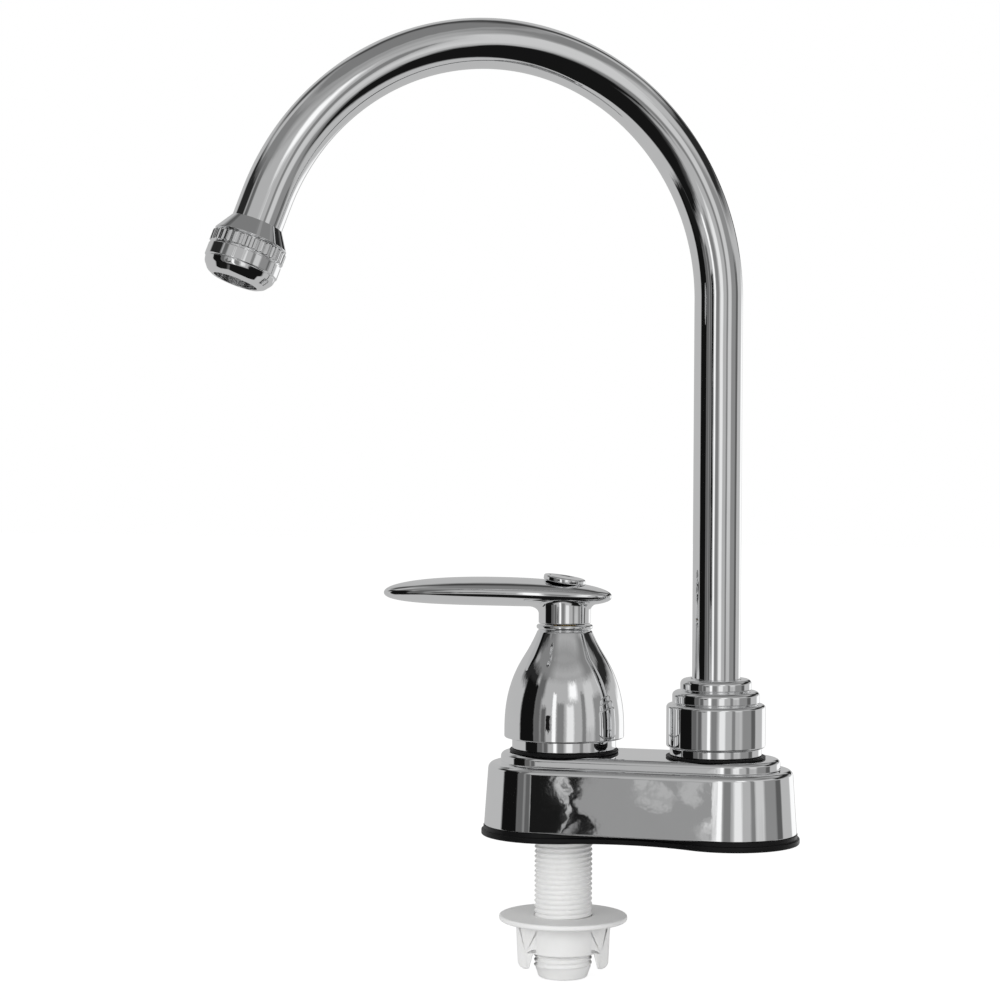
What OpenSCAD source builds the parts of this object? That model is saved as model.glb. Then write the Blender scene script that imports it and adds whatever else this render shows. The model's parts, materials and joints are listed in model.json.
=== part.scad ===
// Gooseneck bar faucet: a quarter-turn lever valve and a swivelling high-arc spout on one deck cover.
// Millimetres, +Z up. The origin is on the valve's axis, at deck level under the gasket.
// The spout's axis stands at +X from the valve's, and the faucet's front faces -Y.

/* [Layout] */
// Distance from the valve's axis to the spout's axis
post_gap = 56.5; // [52:0.5:75]
// Way the spout points at rest, in degrees from over the lever toward the front
spout_swing = 37.8; // [-60:0.1:90]
// Turn of the wing nut at rest, in degrees
nut_turn = 15.6; // [0:0.1:90]

/* [Deck cover and gasket] */
// Thickness of the rubber gasket under the cover
gasket_t = 3.6; // [2:0.1:6]
// How far the gasket's lobes stand out past the cover's foot
gasket_reach = 1; // [0.2:0.1:2]
// Width of the gasket at its waist
gasket_waist = 37; // [30:0.5:44]
// Height of the cover
cover_h = 27; // [24:0.5:32]
// Width of the cover at its foot
cover_w = 48.8; // [46:0.2:56]
// Distance from each post's axis to the cover's end
cover_end = 29.5; // [28:0.5:34]
// Wall of the cover
cover_wall = 2.2; // [1.5:0.1:3]
// How much the cover's side leans in up to the shoulder
cover_draft = 1.5; // [0.5:0.1:2.5]
// Radius of the cover's shoulder
shoulder_r = 4.4; // [3:0.1:6]
// Radius of the rounded step under the cover's flat top
crown_r = 3.6; // [2:0.1:5]
// Thickness of the stiffening ribs inside the cover
rib_t = 2; // [1.2:0.1:3]

/* [Valve body] */
// Outer diameter of the threaded shank
shank_d = 21.34; // [19:0.01:24]
// Length of the shank below deck level
shank_l = 52.3; // [46:0.1:70]
// Bore of the shank
shank_bore_d = 15; // [11:0.5:16]
// Diameter of the valve's tower
tower_d = 26.4; // [26:0.1:28]
// Height of the tower above the cover's top
tower_rise = 15.4; // [12:0.1:20]
// Diameter of the valve's chamber
chamber_d = 20.4; // [20:0.1:21]
// Diameter of the foot flange that stands on the gasket
foot_flange_d = 32; // [29:0.5:36]
// Diameter of the valve's flange under the cover's top, across its round ends
top_flange_d = 32; // [30:0.5:34]
// Thickness of the valve's and the spout post's flanges
flange_t = 3; // [2:0.1:4]
// Height of the side port above the cover's foot
port_rise = 16.4; // [15:0.1:17]
// Outer diameter of the tube that crosses from the valve to the spout
crossover_d = 10; // [8:0.1:10.5]
// Bore of that tube
crossover_bore_d = 7.2; // [5:0.1:7.6]

/* [Cartridge] */
// Diameter of the ceramic discs
disc_d = 15.8; // [14:0.1:16]
// Thickness of each ceramic disc
disc_t = 2.6; // [2:0.1:3.2]
// Thickness of the rubber seal under the discs
seal_t = 2.6; // [2:0.1:3.2]
// Thickness of the spindle's driver
driver_t = 3; // [2.4:0.1:4]
// Diameter of the spindle's stem
stem_d = 8; // [7:0.1:9]

/* [Handle column] */
// Diameter of the black washer on the cover
base_washer_d = 40; // [36:0.5:42]
// Thickness of that washer
base_washer_t = 1.2; // [0.8:0.1:2]
// Diameter of the chrome collar under the bell
collar_d = 38.2; // [36:0.1:40]
// Height of that collar
collar_h = 4.2; // [3:0.1:6]
// Diameter of the bell at its foot
bell_d = 44; // [42:0.2:48]
// Height of the bell
bell_h = 39.8; // [38:0.1:46]
// Height of the bell's straight skirt
skirt_h = 2; // [1:0.1:4]
// Height above the bell's foot where its flank turns from swelling to hollow
turn_h = 29.7; // [28:0.1:32]
// How much the radius has drawn in at that height
belly_in = 7.1; // [5:0.1:8]
// Sharpness of the swelling flank, where 2 is an even curve
belly_power = 2.46; // [2:0.01:3]
// Diameter of the bell's neck
neck_d = 19.4; // [18:0.1:22]
// Thickness of the thin disc on the bell's neck
neck_disc_t = 1.6; // [1:0.1:2.4]

/* [Lever] */
// Length of the lever's blade
blade_l = 87; // [70:0.5:110]
// Reach of the blade's short end past the valve's axis
blade_back = 17.5; // [15:0.1:22]
// Width of the blade
blade_w = 25; // [22:0.5:30]
// Thickness of the blade
blade_t = 10.6; // [10:0.1:14]
// How much both ends of the blade droop
blade_droop = 1.2; // [0:0.1:3]
// Bluntness of the blade's ends, where 2 is an ellipse
blade_power = 2.4; // [2:0.1:3]
// Diameter of the lever's hub
hub_d = 19.2; // [17:0.1:21]
// Height of the blade's middle above the hub's lower face
hub_h = 11; // [10:0.1:14]
// Diameter of the button that covers the screw
button_d = 15.4; // [13:0.1:17]
// Thickness of the button
button_t = 2; // [1.2:0.1:2.6]
// Tilt of the button toward the blade's short end, in degrees
button_tilt = 9; // [0:0.5:12]

/* [Spout base] */
// Diameter of the spout post's thread
post_d = 24; // [23:0.1:26]
// Bore of the spout post, in which the spout's spigot turns
post_bore_d = 20; // [19.6:0.1:20.4]
// Height of the post above the cover's top
post_rise = 19.4; // [16:0.1:24]
// Diameter of the post's flange under the cover's top, across its round ends
post_flange_d = 32; // [29:0.5:36]
// Diameter of the washer under the base ring
spout_washer_d = 36; // [33:0.5:38]
// Thickness of that washer
spout_washer_t = 0.8; // [0.6:0.1:1.5]
// Diameter of the threaded base ring
base_ring_d = 33.2; // [31:0.1:35]
// Height of that ring
base_ring_h = 3.1; // [2.4:0.1:5]
// Diameter of the spout nut
nut_d = 35.8; // [34:0.1:38]
// Diameter of the nut's middle ring
nut_mid_d = 31.6; // [29:0.1:33]
// Diameter of the nut's top ring
nut_top_d = 25.8; // [25:0.1:28]

/* [Spout] */
// Outer diameter of the spout's tube
tube_d = 17.4; // [16:0.1:17.6]
// Wall of the tube
tube_wall = 1; // [0.8:0.1:1.5]
// Height above deck where the tube starts to bend
bend_z = 195.6; // [150:0.1:240]
// Radius of the bend from the upright to the top of the arch
rise_r = 86.4; // [60:0.1:110]
// Radius of the bend from the top of the arch down
fall_r = 89.2; // [60:0.1:110]
// Angle of that second bend, in degrees
fall_angle = 68.8; // [45:0.1:85]
// Straight length of tube between the bend and the aerator
end_l = 9.2; // [5:0.1:30]

/* [Aerator] */
// Largest diameter of the cone on the tube's end
cone_d = 25; // [24:0.1:27]
// Length of the cone
cone_l = 6; // [5:0.1:8]
// Diameter of the aerator over its fluted band
band_d = 25.8; // [25:0.1:28]
// Length of the fluted band
band_l = 4.3; // [3:0.1:8]
// Number of flutes round the band
flute_n = 32; // [24:1:40]
// Depth of the flutes
flute_depth = 0.35; // [0.2:0.05:0.6]
// Diameter of the mouth
mouth_d = 15.2; // [13:0.1:17]

/* [Wing nut] */
// Diameter of the wing nut's flange
wing_flange_d = 47.2; // [42:0.2:54]
// Thickness of that flange
wing_flange_t = 2; // [1.5:0.1:3]
// Depth of the flange's top below deck level at rest
nut_drop = 29.5; // [20:0.1:32]
// Height of the nut's hub under the flange
wing_hub_h = 11.6; // [9:0.1:14]
// Wall of the hub
wing_hub_wall = 2.3; // [1.8:0.1:4]
// Distance between the outer edges of the two wings
wing_span = 34.6; // [33:0.2:40]
// Height of the wings under the flange
wing_h = 17.5; // [15:0.1:20]
// Thickness of a wing
wing_t = 4; // [3:0.1:6]

/* [Clearances] */
// Radial gap of a shaft that turns or slides in its hole
run_gap = 0.05; // [0.02:0.01:0.1]
// Gap between pieces that pass each other without touching
free_gap = 0.3; // [0.2:0.05:0.4]

/* [Hidden] */
$fn = 96;

CHROME = [0.80, 0.81, 0.83];
BLACK = [0.05, 0.05, 0.05];
WHITE = [0.93, 0.93, 0.91];
BRASS = [0.78, 0.62, 0.30];
CERAMIC = [0.88, 0.86, 0.80];

// levels from the deck up
cover_top = gasket_t + cover_h;
roof_z = cover_top - cover_wall;
port_z = gasket_t + port_rise;

// cover
step_in = 0.2;
step_up = 0.3;
shoulder_x = cover_draft + shoulder_r;
shoulder_z = cover_h - crown_r - step_up;
crown_x = shoulder_x + step_in + crown_r;
least_r = 0.4;
flange_z = roof_z - flange_t;
flange_flat = cover_w / 2 - crown_x - free_gap - 0.2;

// valve chamber: the seal stands on the seat, and the discs and the driver follow
seat_land = 4;
seat_z = port_z - seat_land;
seat_t = 6;
seat_hole_r = 5.5;
fixed_z = seat_z + seal_t;
moving_z = fixed_z + disc_t;
driver_z = moving_z + disc_t;
driver_top = driver_z + driver_t;
tower_top = cover_top + tower_rise;

// cartridge
disc_bore_r = disc_d / 2 + 2 * run_gap;
housing_r = disc_bore_r + 1.2;
housing_lift = 1;
cap_t = 2;
cap_r = tower_d / 2 - 0.8;
stem_bore_r = stem_d / 2 + run_gap;
sleeve_r = stem_bore_r + 3.15;
window_w = 4.6;
disc_hole_r = 2.2;
disc_hole_x = 3.1;

// handle column
washer_top = cover_top + base_washer_t;
bell_z = washer_top + collar_h;
bell_top = bell_z + bell_h;
bonnet_wall = 2;
bonnet_gap = 0.6;
bonnet_r = tower_d / 2 + run_gap + 2.55;
cap_z = tower_top + cap_t;
bonnet_top = cap_z + bonnet_wall;
stem_hole_r = sleeve_r + 0.2;
bell_bore_r = bonnet_r + 2 * run_gap;
bell_room = bonnet_top - bell_z + 1.2;
sleeve_top = bell_z + turn_h - 0.7;
belly_slope = belly_power * belly_in / (turn_h - skirt_h);
turn_r = bell_d / 2 - belly_in;
neck_l = bell_h - turn_h;
neck_curve = (neck_d / 2 - turn_r + belly_slope * neck_l) / (neck_l * neck_l);
neck_disc_d = neck_d + 1.3;

// lever
hub_gap = 0.6;
hub_z = bell_top + neck_disc_t + hub_gap;
blade_z = hub_z + hub_h;
blade_x = blade_back - blade_l / 2;
web_t = 3;
stem_top = blade_z - web_t;
stem_seal_z = cap_z + 4;
stem_section = 1;
stem_groove_r = stem_d / 2 - stem_section - run_gap;
screw_r = 2;
screw_head_r = 3.8;
screw_head_t = 2.5;
screw_l = 10;
screw_pocket_r = 4.9;
hub_fillet = 2;
button_rise = 5.9;
button_z = blade_z + button_rise;
skirt_wall = 0.7;

// crossover
crossover_r = crossover_d / 2;
crossover_bore_r = crossover_bore_d / 2;
boss_r = crossover_r + 1.6;
boss_reach = 20;
socket_depth = 6;
tube_start = boss_reach - socket_depth;
tube_end = post_gap - tube_start;
seal_section = 0.9;
seal_groove_r = crossover_r - seal_section + run_gap;
seal_x = [tube_start + socket_depth / 2, tube_end - socket_depth / 2];

// spout base
post_foot = 8;
post_body_r = post_d / 2 + 1;
channel_r = 6;
channel_z = port_z - channel_r;
post_floor = 6;
post_top = cover_top + post_rise;
post_bore_z = port_z + post_floor;
spout_washer_top = cover_top + spout_washer_t;
nut_z = spout_washer_top + base_ring_h;
thrust_t = 1;
spigot_r = post_bore_d / 2 - run_gap;
spigot_foot = post_bore_z + 2;
spigot_section = 1.5;
spigot_groove_r = spigot_r - spigot_section - 0.1;
spigot_seal_z = [spigot_foot + 4, spigot_foot + 9];
spigot_collar_z = post_top + thrust_t;
spigot_collar_t = 2.5;
shelf_z = spigot_collar_z + spigot_collar_t + 0.2;
bushing_l = 3.5;
bushing_top = shelf_z + 0.2 + bushing_l;
nut_top = bushing_top + 1.7;
bushing_bore_r = tube_d / 2 + 2 * run_gap;
bushing_r = bushing_bore_r + 2.1;
tube_foot = spigot_foot + 13;

// spout path in its own plane: u runs out from the spout's axis and z up
fall_z = bend_z + rise_r - fall_r;
tip_u = rise_r + fall_r * sin(fall_angle) + end_l * cos(fall_angle);
tip_z = fall_z + fall_r * cos(fall_angle) - end_l * sin(fall_angle);
end_step = 0.03;

// aerator, measured along the flow from the tube's visible end
tube_in = 4;
end_cut = 0.2;
nose_l = 5;
nose_r = 10.4;
throat_r = tube_d / 2 - tube_wall - 0.5;
nose_end = cone_l + nose_l;
part_line = 0.6;
aerator_washer_t = 1;
rim_t = 1;
band_z = cone_l + part_line;
groove_l = 0.5;
barrel_l = 4.2;
lip_l = 4.8;
barrel_z = band_z + band_l + groove_l;
lip_z = barrel_z + barrel_l + groove_l - 0.1;
aerator_end = lip_z + lip_l;
shelf_t = nose_end + aerator_washer_t + rim_t;
insert_l = 4;
insert_r = 9.4;
screen_t = 0.9;
screen_z = shelf_t + insert_l;
screen_hole_r = 0.6;
screen_pitch = 1.9;

// wing nut
nut_bore_r = shank_d / 2 + run_gap;
nut_hub_r = nut_bore_r + wing_hub_wall;

// Points on an arc about (x, y)
function arc(x, y, r, from, to, n = 8) =
    [for (i = [0 : n]) [x + r * cos(from + (to - from) * i / n), y + r * sin(from + (to - from) * i / n)]];

// Raised ring of a turned outline, from z0 to z1, with its upper edge rounded by f
function ring_step(r, z0, z1, f) =
    concat([[r - 0.5, z0], [r, z0 + 0.5]], arc(r - f, z1 - f, f, 0, 90));

// Signed power, for blunt ovals
function spow(v, p) = sign(v) * pow(abs(v), p);

// Radius of the bell at height h: a power curve swells out of the skirt, then a hollow one meets the neck
function bell_r(h) =
    h <= turn_h
        ? bell_d / 2 - belly_in * pow(max(h - skirt_h, 0) / (turn_h - skirt_h), belly_power)
        : turn_r - belly_slope * (h - turn_h) + neck_curve * pow(h - turn_h, 2);

// Half outline of the cover as (inset from the foot, height), drawn in by d inside the outer surface
function cover_outline(d) =
    let (
        low_r = max(shoulder_r - d, least_r),
        high_r = max(crown_r - d, least_r),
        low_z = shoulder_z - shoulder_r
    )
    concat(
        [[d, -d]],
        arc(shoulder_x, low_z, low_r, 180, 90),
        [[crown_x - high_r, low_z + low_r]],
        arc(crown_x, cover_h - crown_r, high_r, 180, 90)
    );

module turned(points) {
    rotate_extrude() polygon(points);
}

module ring(z0, z1, r_in, r_out) {
    translate([0, 0, z0]) difference() {
        cylinder(r = r_out, h = z1 - z0);
        translate([0, 0, -1]) cylinder(r = r_in, h = z1 - z0 + 2);
    }
}

// Sealing ring of round section with its inner side flat on a groove's floor
module o_ring(floor_r, section) {
    turned([for (p = arc(floor_r + section / 2, 0, section / 2, 0, 345, 23)) [max(p[0], floor_r), p[1]]]);
}

module at_spout() {
    translate([post_gap, 0, 0]) children();
}

// Frame of the spout's plane: +X runs out along u
module on_spout() {
    at_spout() rotate([0, 0, 180 + spout_swing]) children();
}

// Frame of the aerator: origin at the tube's visible end, +Z along the flow
module on_tip() {
    on_spout() translate([tip_u, 0, tip_z]) rotate([0, 90 + fall_angle, 0]) children();
}

// Solid with full-round ends: the outline (inset, height) is revolved at both ends and drawn along between
module stadium(outline, z0) {
    r = cover_w / 2;
    shift = cover_end - r;
    top = outline[len(outline) - 1][1];
    foot = outline[0][1];
    half = concat([[0, foot]], [for (p = outline) [r - p[0], p[1]]], [[0, top]]);
    section = concat(
        [for (p = outline) [r - p[0], p[1]]],
        [for (i = [len(outline) - 1 : -1 : 0]) [outline[i][0] - r, outline[i][1]]]
    );
    translate([-shift, 0, z0]) rotate([0, 0, 90]) rotate_extrude(angle = 180) polygon(half);
    translate([post_gap + shift, 0, z0]) rotate([0, 0, -90]) rotate_extrude(angle = 180) polygon(half);
    translate([-shift, 0, z0]) rotate([90, 0, 90]) linear_extrude(post_gap + 2 * shift) polygon(section);
}

// Plan of two round lobes joined by a waist whose hollow sides are tangent to both, from z0 to z1
module peanut(lobe_r, waist, z0, z1) {
    shift = cover_end - cover_w / 2;
    span = post_gap / 2 + shift;
    waist_r = (span * span + waist * waist - lobe_r * lobe_r) / (2 * (lobe_r - waist));
    lean = atan2(waist + waist_r, span);
    middle = post_gap / 2;
    translate([0, 0, z0]) linear_extrude(z1 - z0) polygon(concat(
        arc(-shift, 0, lobe_r, 360 - lean, lean, 28),
        arc(middle, waist + waist_r, waist_r, 180 + lean, 360 - lean, 10),
        arc(post_gap + shift, 0, lobe_r, 180 - lean, lean - 180, 28),
        arc(middle, -waist - waist_r, waist_r, lean, 180 - lean, 10)
    ));
}

// Flange under the cover's roof: round ends, and two flats that keep it from turning in the cover
module roof_flange(d) {
    translate([0, 0, flange_z]) intersection() {
        cylinder(r = d / 2, h = flange_t);
        translate([-d / 2, -flange_flat, 0]) cube([d, 2 * flange_flat, flange_t]);
    }
}

module base_cover() {
    rib_x = 6;
    rib_depth = 12;
    notch = boss_r + 1;
    color(CHROME) difference() {
        union() {
            difference() {
                stadium(cover_outline(0), gasket_t);
                stadium(cover_outline(cover_wall), gasket_t);
            }
            intersection() {
                stadium(cover_outline(cover_wall / 2), gasket_t);
                for (s = [-1, 1]) {
                    translate([post_gap / 2 + s * rib_x - rib_t / 2, -cover_w / 2, roof_z - rib_depth]) {
                        cube([rib_t, cover_w, rib_depth + cover_wall]);
                    }
                }
            }
        }
        translate([0, -notch, gasket_t]) cube([post_gap, 2 * notch, port_z + notch - gasket_t]);
        translate([0, 0, gasket_t]) cylinder(r = tower_d / 2 + free_gap, h = cover_h + 1);
        at_spout() translate([0, 0, gasket_t]) cylinder(r = post_d / 2 + free_gap, h = cover_h + 1);
    }
}

module deck_gasket() {
    lobe = cover_w / 2 + gasket_reach;
    edge_t = 1.6;
    edge_in = 0.8;
    lip_h = 2.4;
    lip_t = 1.5;
    lip_r = cover_w / 2 - cover_wall - cover_draft / 2;
    lip_waist = gasket_waist / 2 - 2;
    color(BLACK) difference() {
        union() {
            peanut(lobe, gasket_waist / 2, 0, gasket_t - edge_t);
            peanut(lobe - edge_in, gasket_waist / 2 - edge_in, gasket_t - edge_t, gasket_t);
            difference() {
                peanut(lip_r, lip_waist, gasket_t, gasket_t + lip_h);
                peanut(lip_r - lip_t, lip_waist - lip_t, gasket_t - 1, gasket_t + lip_h + 1);
            }
        }
        translate([0, 0, -1]) cylinder(r = shank_d / 2 + 0.6, h = gasket_t + 2);
    }
}

module side_boss() {
    translate([0, 0, port_z]) rotate([0, 90, 0]) cylinder(r = boss_r, h = boss_reach);
}

module side_port() {
    translate([0, 0, port_z]) rotate([0, 90, 0]) {
        cylinder(r = crossover_bore_r, h = boss_reach + 1);
        translate([0, 0, tube_start]) cylinder(r = crossover_r + run_gap, h = socket_depth + 1);
    }
}

module valve_body() {
    tip_chamfer = 4;
    tip_in = 1.8;
    shank_r = shank_d / 2;
    tower_r = tower_d / 2;
    color(WHITE) difference() {
        union() {
            turned([
                [0, -shank_l],
                [shank_r - tip_in, -shank_l],
                [shank_r, tip_chamfer - shank_l],
                [shank_r, gasket_t],
                [foot_flange_d / 2, gasket_t],
                [foot_flange_d / 2, gasket_t + flange_t],
                [tower_r, gasket_t + flange_t],
                [tower_r, tower_top],
                [0, tower_top]
            ]);
            roof_flange(top_flange_d);
            side_boss();
        }
        translate([0, 0, seat_z]) cylinder(r = chamber_d / 2, h = tower_top - seat_z + 1);
        translate([0, 0, -shank_l - 1]) cylinder(r = seat_hole_r, h = shank_l + seat_z + 2);
        translate([0, 0, -shank_l - 1]) cylinder(r = shank_bore_d / 2, h = shank_l + seat_z - seat_t + 1);
        side_port();
    }
}

module base_washer() {
    color(BLACK) ring(cover_top, washer_top, tower_d / 2 + run_gap, base_washer_d / 2);
}

module collar_ring() {
    color(CHROME) ring(washer_top, bell_z, tower_d / 2 + run_gap, collar_d / 2);
}

module bonnet_nut() {
    color(BRASS) difference() {
        ring(bell_z + bonnet_gap, bonnet_top, sleeve_r + run_gap, bonnet_r);
        translate([0, 0, bell_z]) cylinder(r = tower_d / 2 + run_gap, h = cap_z - bell_z);
    }
}

module bell() {
    flank = [for (i = [0 : 16]) let (h = skirt_h + (turn_h - skirt_h) * i / 16) [bell_r(h), h]];
    neck = [for (i = [1 : 6]) let (h = turn_h + neck_l * i / 6) [bell_r(h), h]];
    color(CHROME) translate([0, 0, bell_z]) turned(concat(
        [[bell_bore_r, 0], [bell_d / 2, 0]],
        flank,
        neck,
        [[stem_hole_r, bell_h], [stem_hole_r, turn_h], [bell_bore_r, bell_room]]
    ));
}

module neck_disc() {
    color(CHROME) ring(bell_top, bell_top + neck_disc_t, stem_hole_r, neck_disc_d / 2);
}

module cartridge_housing() {
    color(BRASS) difference() {
        union() {
            translate([0, 0, seat_z + housing_lift]) cylinder(r = housing_r, h = tower_top - seat_z);
            translate([0, 0, tower_top]) cylinder(r = cap_r, h = cap_t);
            translate([0, 0, tower_top]) cylinder(r = sleeve_r, h = sleeve_top - tower_top);
        }
        translate([0, 0, seat_z]) cylinder(r = disc_bore_r, h = driver_top - seat_z);
        translate([0, 0, seat_z]) cylinder(r = stem_bore_r, h = sleeve_top - seat_z + 1);
        for (a = [0, 90]) {
            rotate([0, 0, a]) translate([-housing_r - 1, -window_w / 2, driver_z]) {
                cube([2 * housing_r + 2, window_w, driver_t]);
            }
        }
    }
}

module cartridge_seal() {
    color(BLACK) ring(seat_z, fixed_z, seat_hole_r + 0.1, disc_d / 2);
}

// Ceramic disc with two water holes, on the line at angle a
module ceramic_disc(z, r, a) {
    difference() {
        translate([0, 0, z]) cylinder(r = r, h = disc_t);
        rotate([0, 0, a]) for (s = [-1, 1]) {
            translate([s * disc_hole_x, 0, z - 1]) cylinder(r = disc_hole_r, h = disc_t + 2);
        }
    }
}

module fixed_disc() {
    color(CERAMIC) ceramic_disc(fixed_z, disc_d / 2, 0);
}

module moving_disc() {
    color(CERAMIC) ceramic_disc(moving_z, disc_bore_r - free_gap, 90);
}

// Groove round a shaft of radius r for a sealing ring, about the ring's middle
module seal_groove(floor_r, r, section) {
    half = section / 2 + 0.1;
    ring(-half, half, floor_r, r + 1);
}

module crossover_tube() {
    color(BRASS) difference() {
        translate([tube_start, 0, port_z]) rotate([0, 90, 0]) {
            ring(0, tube_end - tube_start, crossover_bore_r, crossover_r);
        }
        for (x = seal_x) {
            translate([x, 0, port_z]) rotate([0, 90, 0]) {
                seal_groove(seal_groove_r, crossover_r, seal_section);
            }
        }
    }
}

module crossover_o_rings() {
    color(BLACK) for (x = seal_x) {
        translate([x, 0, port_z]) rotate([0, 90, 0]) o_ring(seal_groove_r, seal_section);
    }
}

module spout_post() {
    color(BRASS) at_spout() difference() {
        union() {
            turned([
                [0, post_foot],
                [post_body_r, post_foot],
                [post_body_r, roof_z],
                [post_d / 2, roof_z],
                [post_d / 2, post_top],
                [0, post_top]
            ]);
            roof_flange(post_flange_d);
            mirror([1, 0, 0]) side_boss();
        }
        translate([0, 0, post_bore_z]) cylinder(r = post_bore_d / 2, h = post_top - post_bore_z + 1);
        translate([0, 0, channel_z]) cylinder(r = channel_r, h = post_bore_z - channel_z + 1);
        mirror([1, 0, 0]) side_port();
    }
}

module spout_washer() {
    color(BLACK) at_spout() ring(cover_top, spout_washer_top, post_d / 2 + run_gap, spout_washer_d / 2);
}

module spout_base_ring() {
    color(CHROME) at_spout() ring(spout_washer_top, nut_z, post_d / 2 + run_gap, base_ring_d / 2);
}

module spout_nut() {
    seam = 0.4;
    mid_l = 4.7;
    top_l = 4.4;
    nut_h = nut_top - nut_z;
    main_h = nut_h - mid_l - top_l;
    mid_h = main_h + mid_l;
    color(CHROME) at_spout() difference() {
        translate([0, 0, nut_z]) turned(concat(
            [[0, 0]],
            ring_step(nut_d / 2, 0, main_h, 2.2),
            ring_step(nut_mid_d / 2, main_h + seam, mid_h, 2.4),
            ring_step(nut_top_d / 2, mid_h + seam, nut_h, 1.9),
            [[0, nut_h]]
        ));
        translate([0, 0, nut_z - 1]) cylinder(r = post_d / 2 + 2 * run_gap, h = shelf_z - nut_z + 1);
        translate([0, 0, nut_z]) cylinder(r = bushing_r + 2 * run_gap, h = bushing_top - nut_z);
        translate([0, 0, nut_z]) cylinder(r = tube_d / 2 + free_gap, h = nut_top - nut_z + 1);
    }
}

module thrust_washer() {
    color(WHITE) at_spout() ring(post_top, spigot_collar_z, spigot_r + 3 * run_gap, post_d / 2);
}

module spout_bushing() {
    color(WHITE) at_spout() ring(bushing_top - bushing_l, bushing_top, bushing_bore_r, bushing_r);
}

// Blade as rings of an oval whose size follows a blunt curve from end to end
module blade() {
    rings = 22;
    sides = 28;
    stations = [for (i = [1 : rings - 1]) 180 * i / rings - 90];
    e = 2 / blade_power;
    function drop(u) = -blade_droop * u * u;
    points = concat(
        [[blade_x - blade_l / 2, 0, blade_z - blade_droop]],
        [for (a = stations, j = [0 : sides - 1])
            let (
                u = spow(sin(a), e),
                s = pow(cos(a), e),
                b = 360 * j / sides,
                z = blade_z + drop(u) + s * sin(b) * blade_t / 2
            )
            [blade_x + u * blade_l / 2, s * cos(b) * blade_w / 2, z]],
        [[blade_x + blade_l / 2, 0, blade_z - blade_droop]]
    );
    last = len(points) - 1;
    faces = concat(
        [for (j = [0 : sides - 1]) [0, 1 + j, 1 + (j + 1) % sides]],
        [for (i = [0 : rings - 3], j = [0 : sides - 1])
            let (a = 1 + i * sides, k = (j + 1) % sides)
            [a + j, a + sides + j, a + sides + k, a + k]],
        [for (j = [0 : sides - 1]) [last, last - sides + (j + 1) % sides, last - sides + j]]
    );
    polyhedron(points, faces, convexity = 4);
}

// Pocket that the tilted button sits in, down to its underside
module button_space(r, h) {
    translate([0, 0, button_z]) rotate([0, button_tilt, 0]) {
        translate([0, 0, -button_t]) cylinder(r = r, h = h);
    }
}

module lever_handle() {
    hub_r = hub_d / 2;
    fillet_z = blade_z - blade_t / 2 + 1 - hub_fillet;
    color(CHROME) difference() {
        union() {
            blade();
            turned(concat(
                [[0, hub_z], [hub_r - 0.4, hub_z], [hub_r, hub_z + 0.4]],
                arc(hub_r + hub_fillet, fillet_z, hub_fillet, 180, 90, 6),
                [[hub_r, blade_z], [0, blade_z]]
            ));
        }
        translate([0, 0, hub_z - 1]) cylinder(r = stem_d / 2 + 0.02, h = stem_top - hub_z + 1);
        translate([0, 0, hub_z]) cylinder(r = screw_r + 0.1, h = blade_z - hub_z + 1);
        translate([0, 0, blade_z]) cylinder(r = screw_pocket_r, h = blade_t);
        button_space(button_d / 2 + 0.1, blade_t);
    }
}

module handle_screw() {
    slot_l = 4.4;
    slot_w = 1;
    slot_t = 1.3;
    color(BRASS) difference() {
        union() {
            translate([0, 0, blade_z]) cylinder(r = screw_head_r, h = screw_head_t);
            translate([0, 0, stem_top - screw_l + 1]) cylinder(r = screw_r, h = web_t + screw_l - 0.5);
        }
        for (a = [0, 90]) {
            rotate([0, 0, a]) translate([-slot_l / 2, -slot_w / 2, blade_z + screw_head_t - slot_t]) {
                cube([slot_l, slot_w, slot_t + 1]);
            }
        }
    }
}

module index_button() {
    color(CHROME) {
        button_space(button_d / 2, button_t);
        difference() {
            ring(blade_z + 0.8, button_z, screw_pocket_r - run_gap - skirt_wall, screw_pocket_r - run_gap);
            button_space(button_d, blade_t);
        }
    }
}

module spindle() {
    driver_r = disc_bore_r - free_gap;
    bridge = 1.8;
    roof_t = 0.5;
    color(BRASS) difference() {
        union() {
            difference() {
                translate([0, 0, driver_z]) cylinder(r = driver_r, h = driver_t);
                for (a = [0, 180]) {
                    rotate([0, 0, a]) translate([-disc_hole_r, bridge / 2, driver_z - 1]) {
                        cube([2 * disc_hole_r, driver_r, driver_t - roof_t + 1]);
                    }
                }
            }
            translate([0, 0, driver_top - 0.5]) cylinder(r = stem_d / 2, h = stem_top - driver_top + 0.5);
        }
        translate([0, 0, stem_seal_z]) seal_groove(stem_groove_r, stem_d / 2, stem_section);
        translate([0, 0, stem_top - screw_l]) cylinder(r = screw_r + run_gap, h = screw_l + 1);
    }
}

module spindle_o_ring() {
    color(BLACK) translate([0, 0, stem_seal_z]) o_ring(stem_groove_r, stem_section);
}

// Upright foot, a quarter bend up to the top of the arch, a second bend down, and a straight end
// whose last stretch is turned down to enter the aerator's collar
module spout_path(r_out, r_in) {
    module section(r) {
        translate([r, 0]) difference() {
            circle(r_out);
            circle(r_in);
        }
    }
    translate([0, 0, tube_foot]) ring(0, bend_z - tube_foot, r_in, r_out);
    translate([rise_r, 0, bend_z]) rotate([90, 0, 0]) mirror([1, 0, 0]) {
        rotate_extrude(angle = 90) section(rise_r);
    }
    translate([rise_r, 0, fall_z]) rotate([0, -90, -90]) rotate_extrude(angle = fall_angle) section(fall_r);
    translate([tip_u, 0, tip_z]) rotate([0, 90 + fall_angle, 0]) {
        ring(-end_l - 1, 0, r_in + end_step, r_out - end_step);
        ring(-1, tube_in, r_in + end_cut, r_out - end_cut);
    }
}

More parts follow.
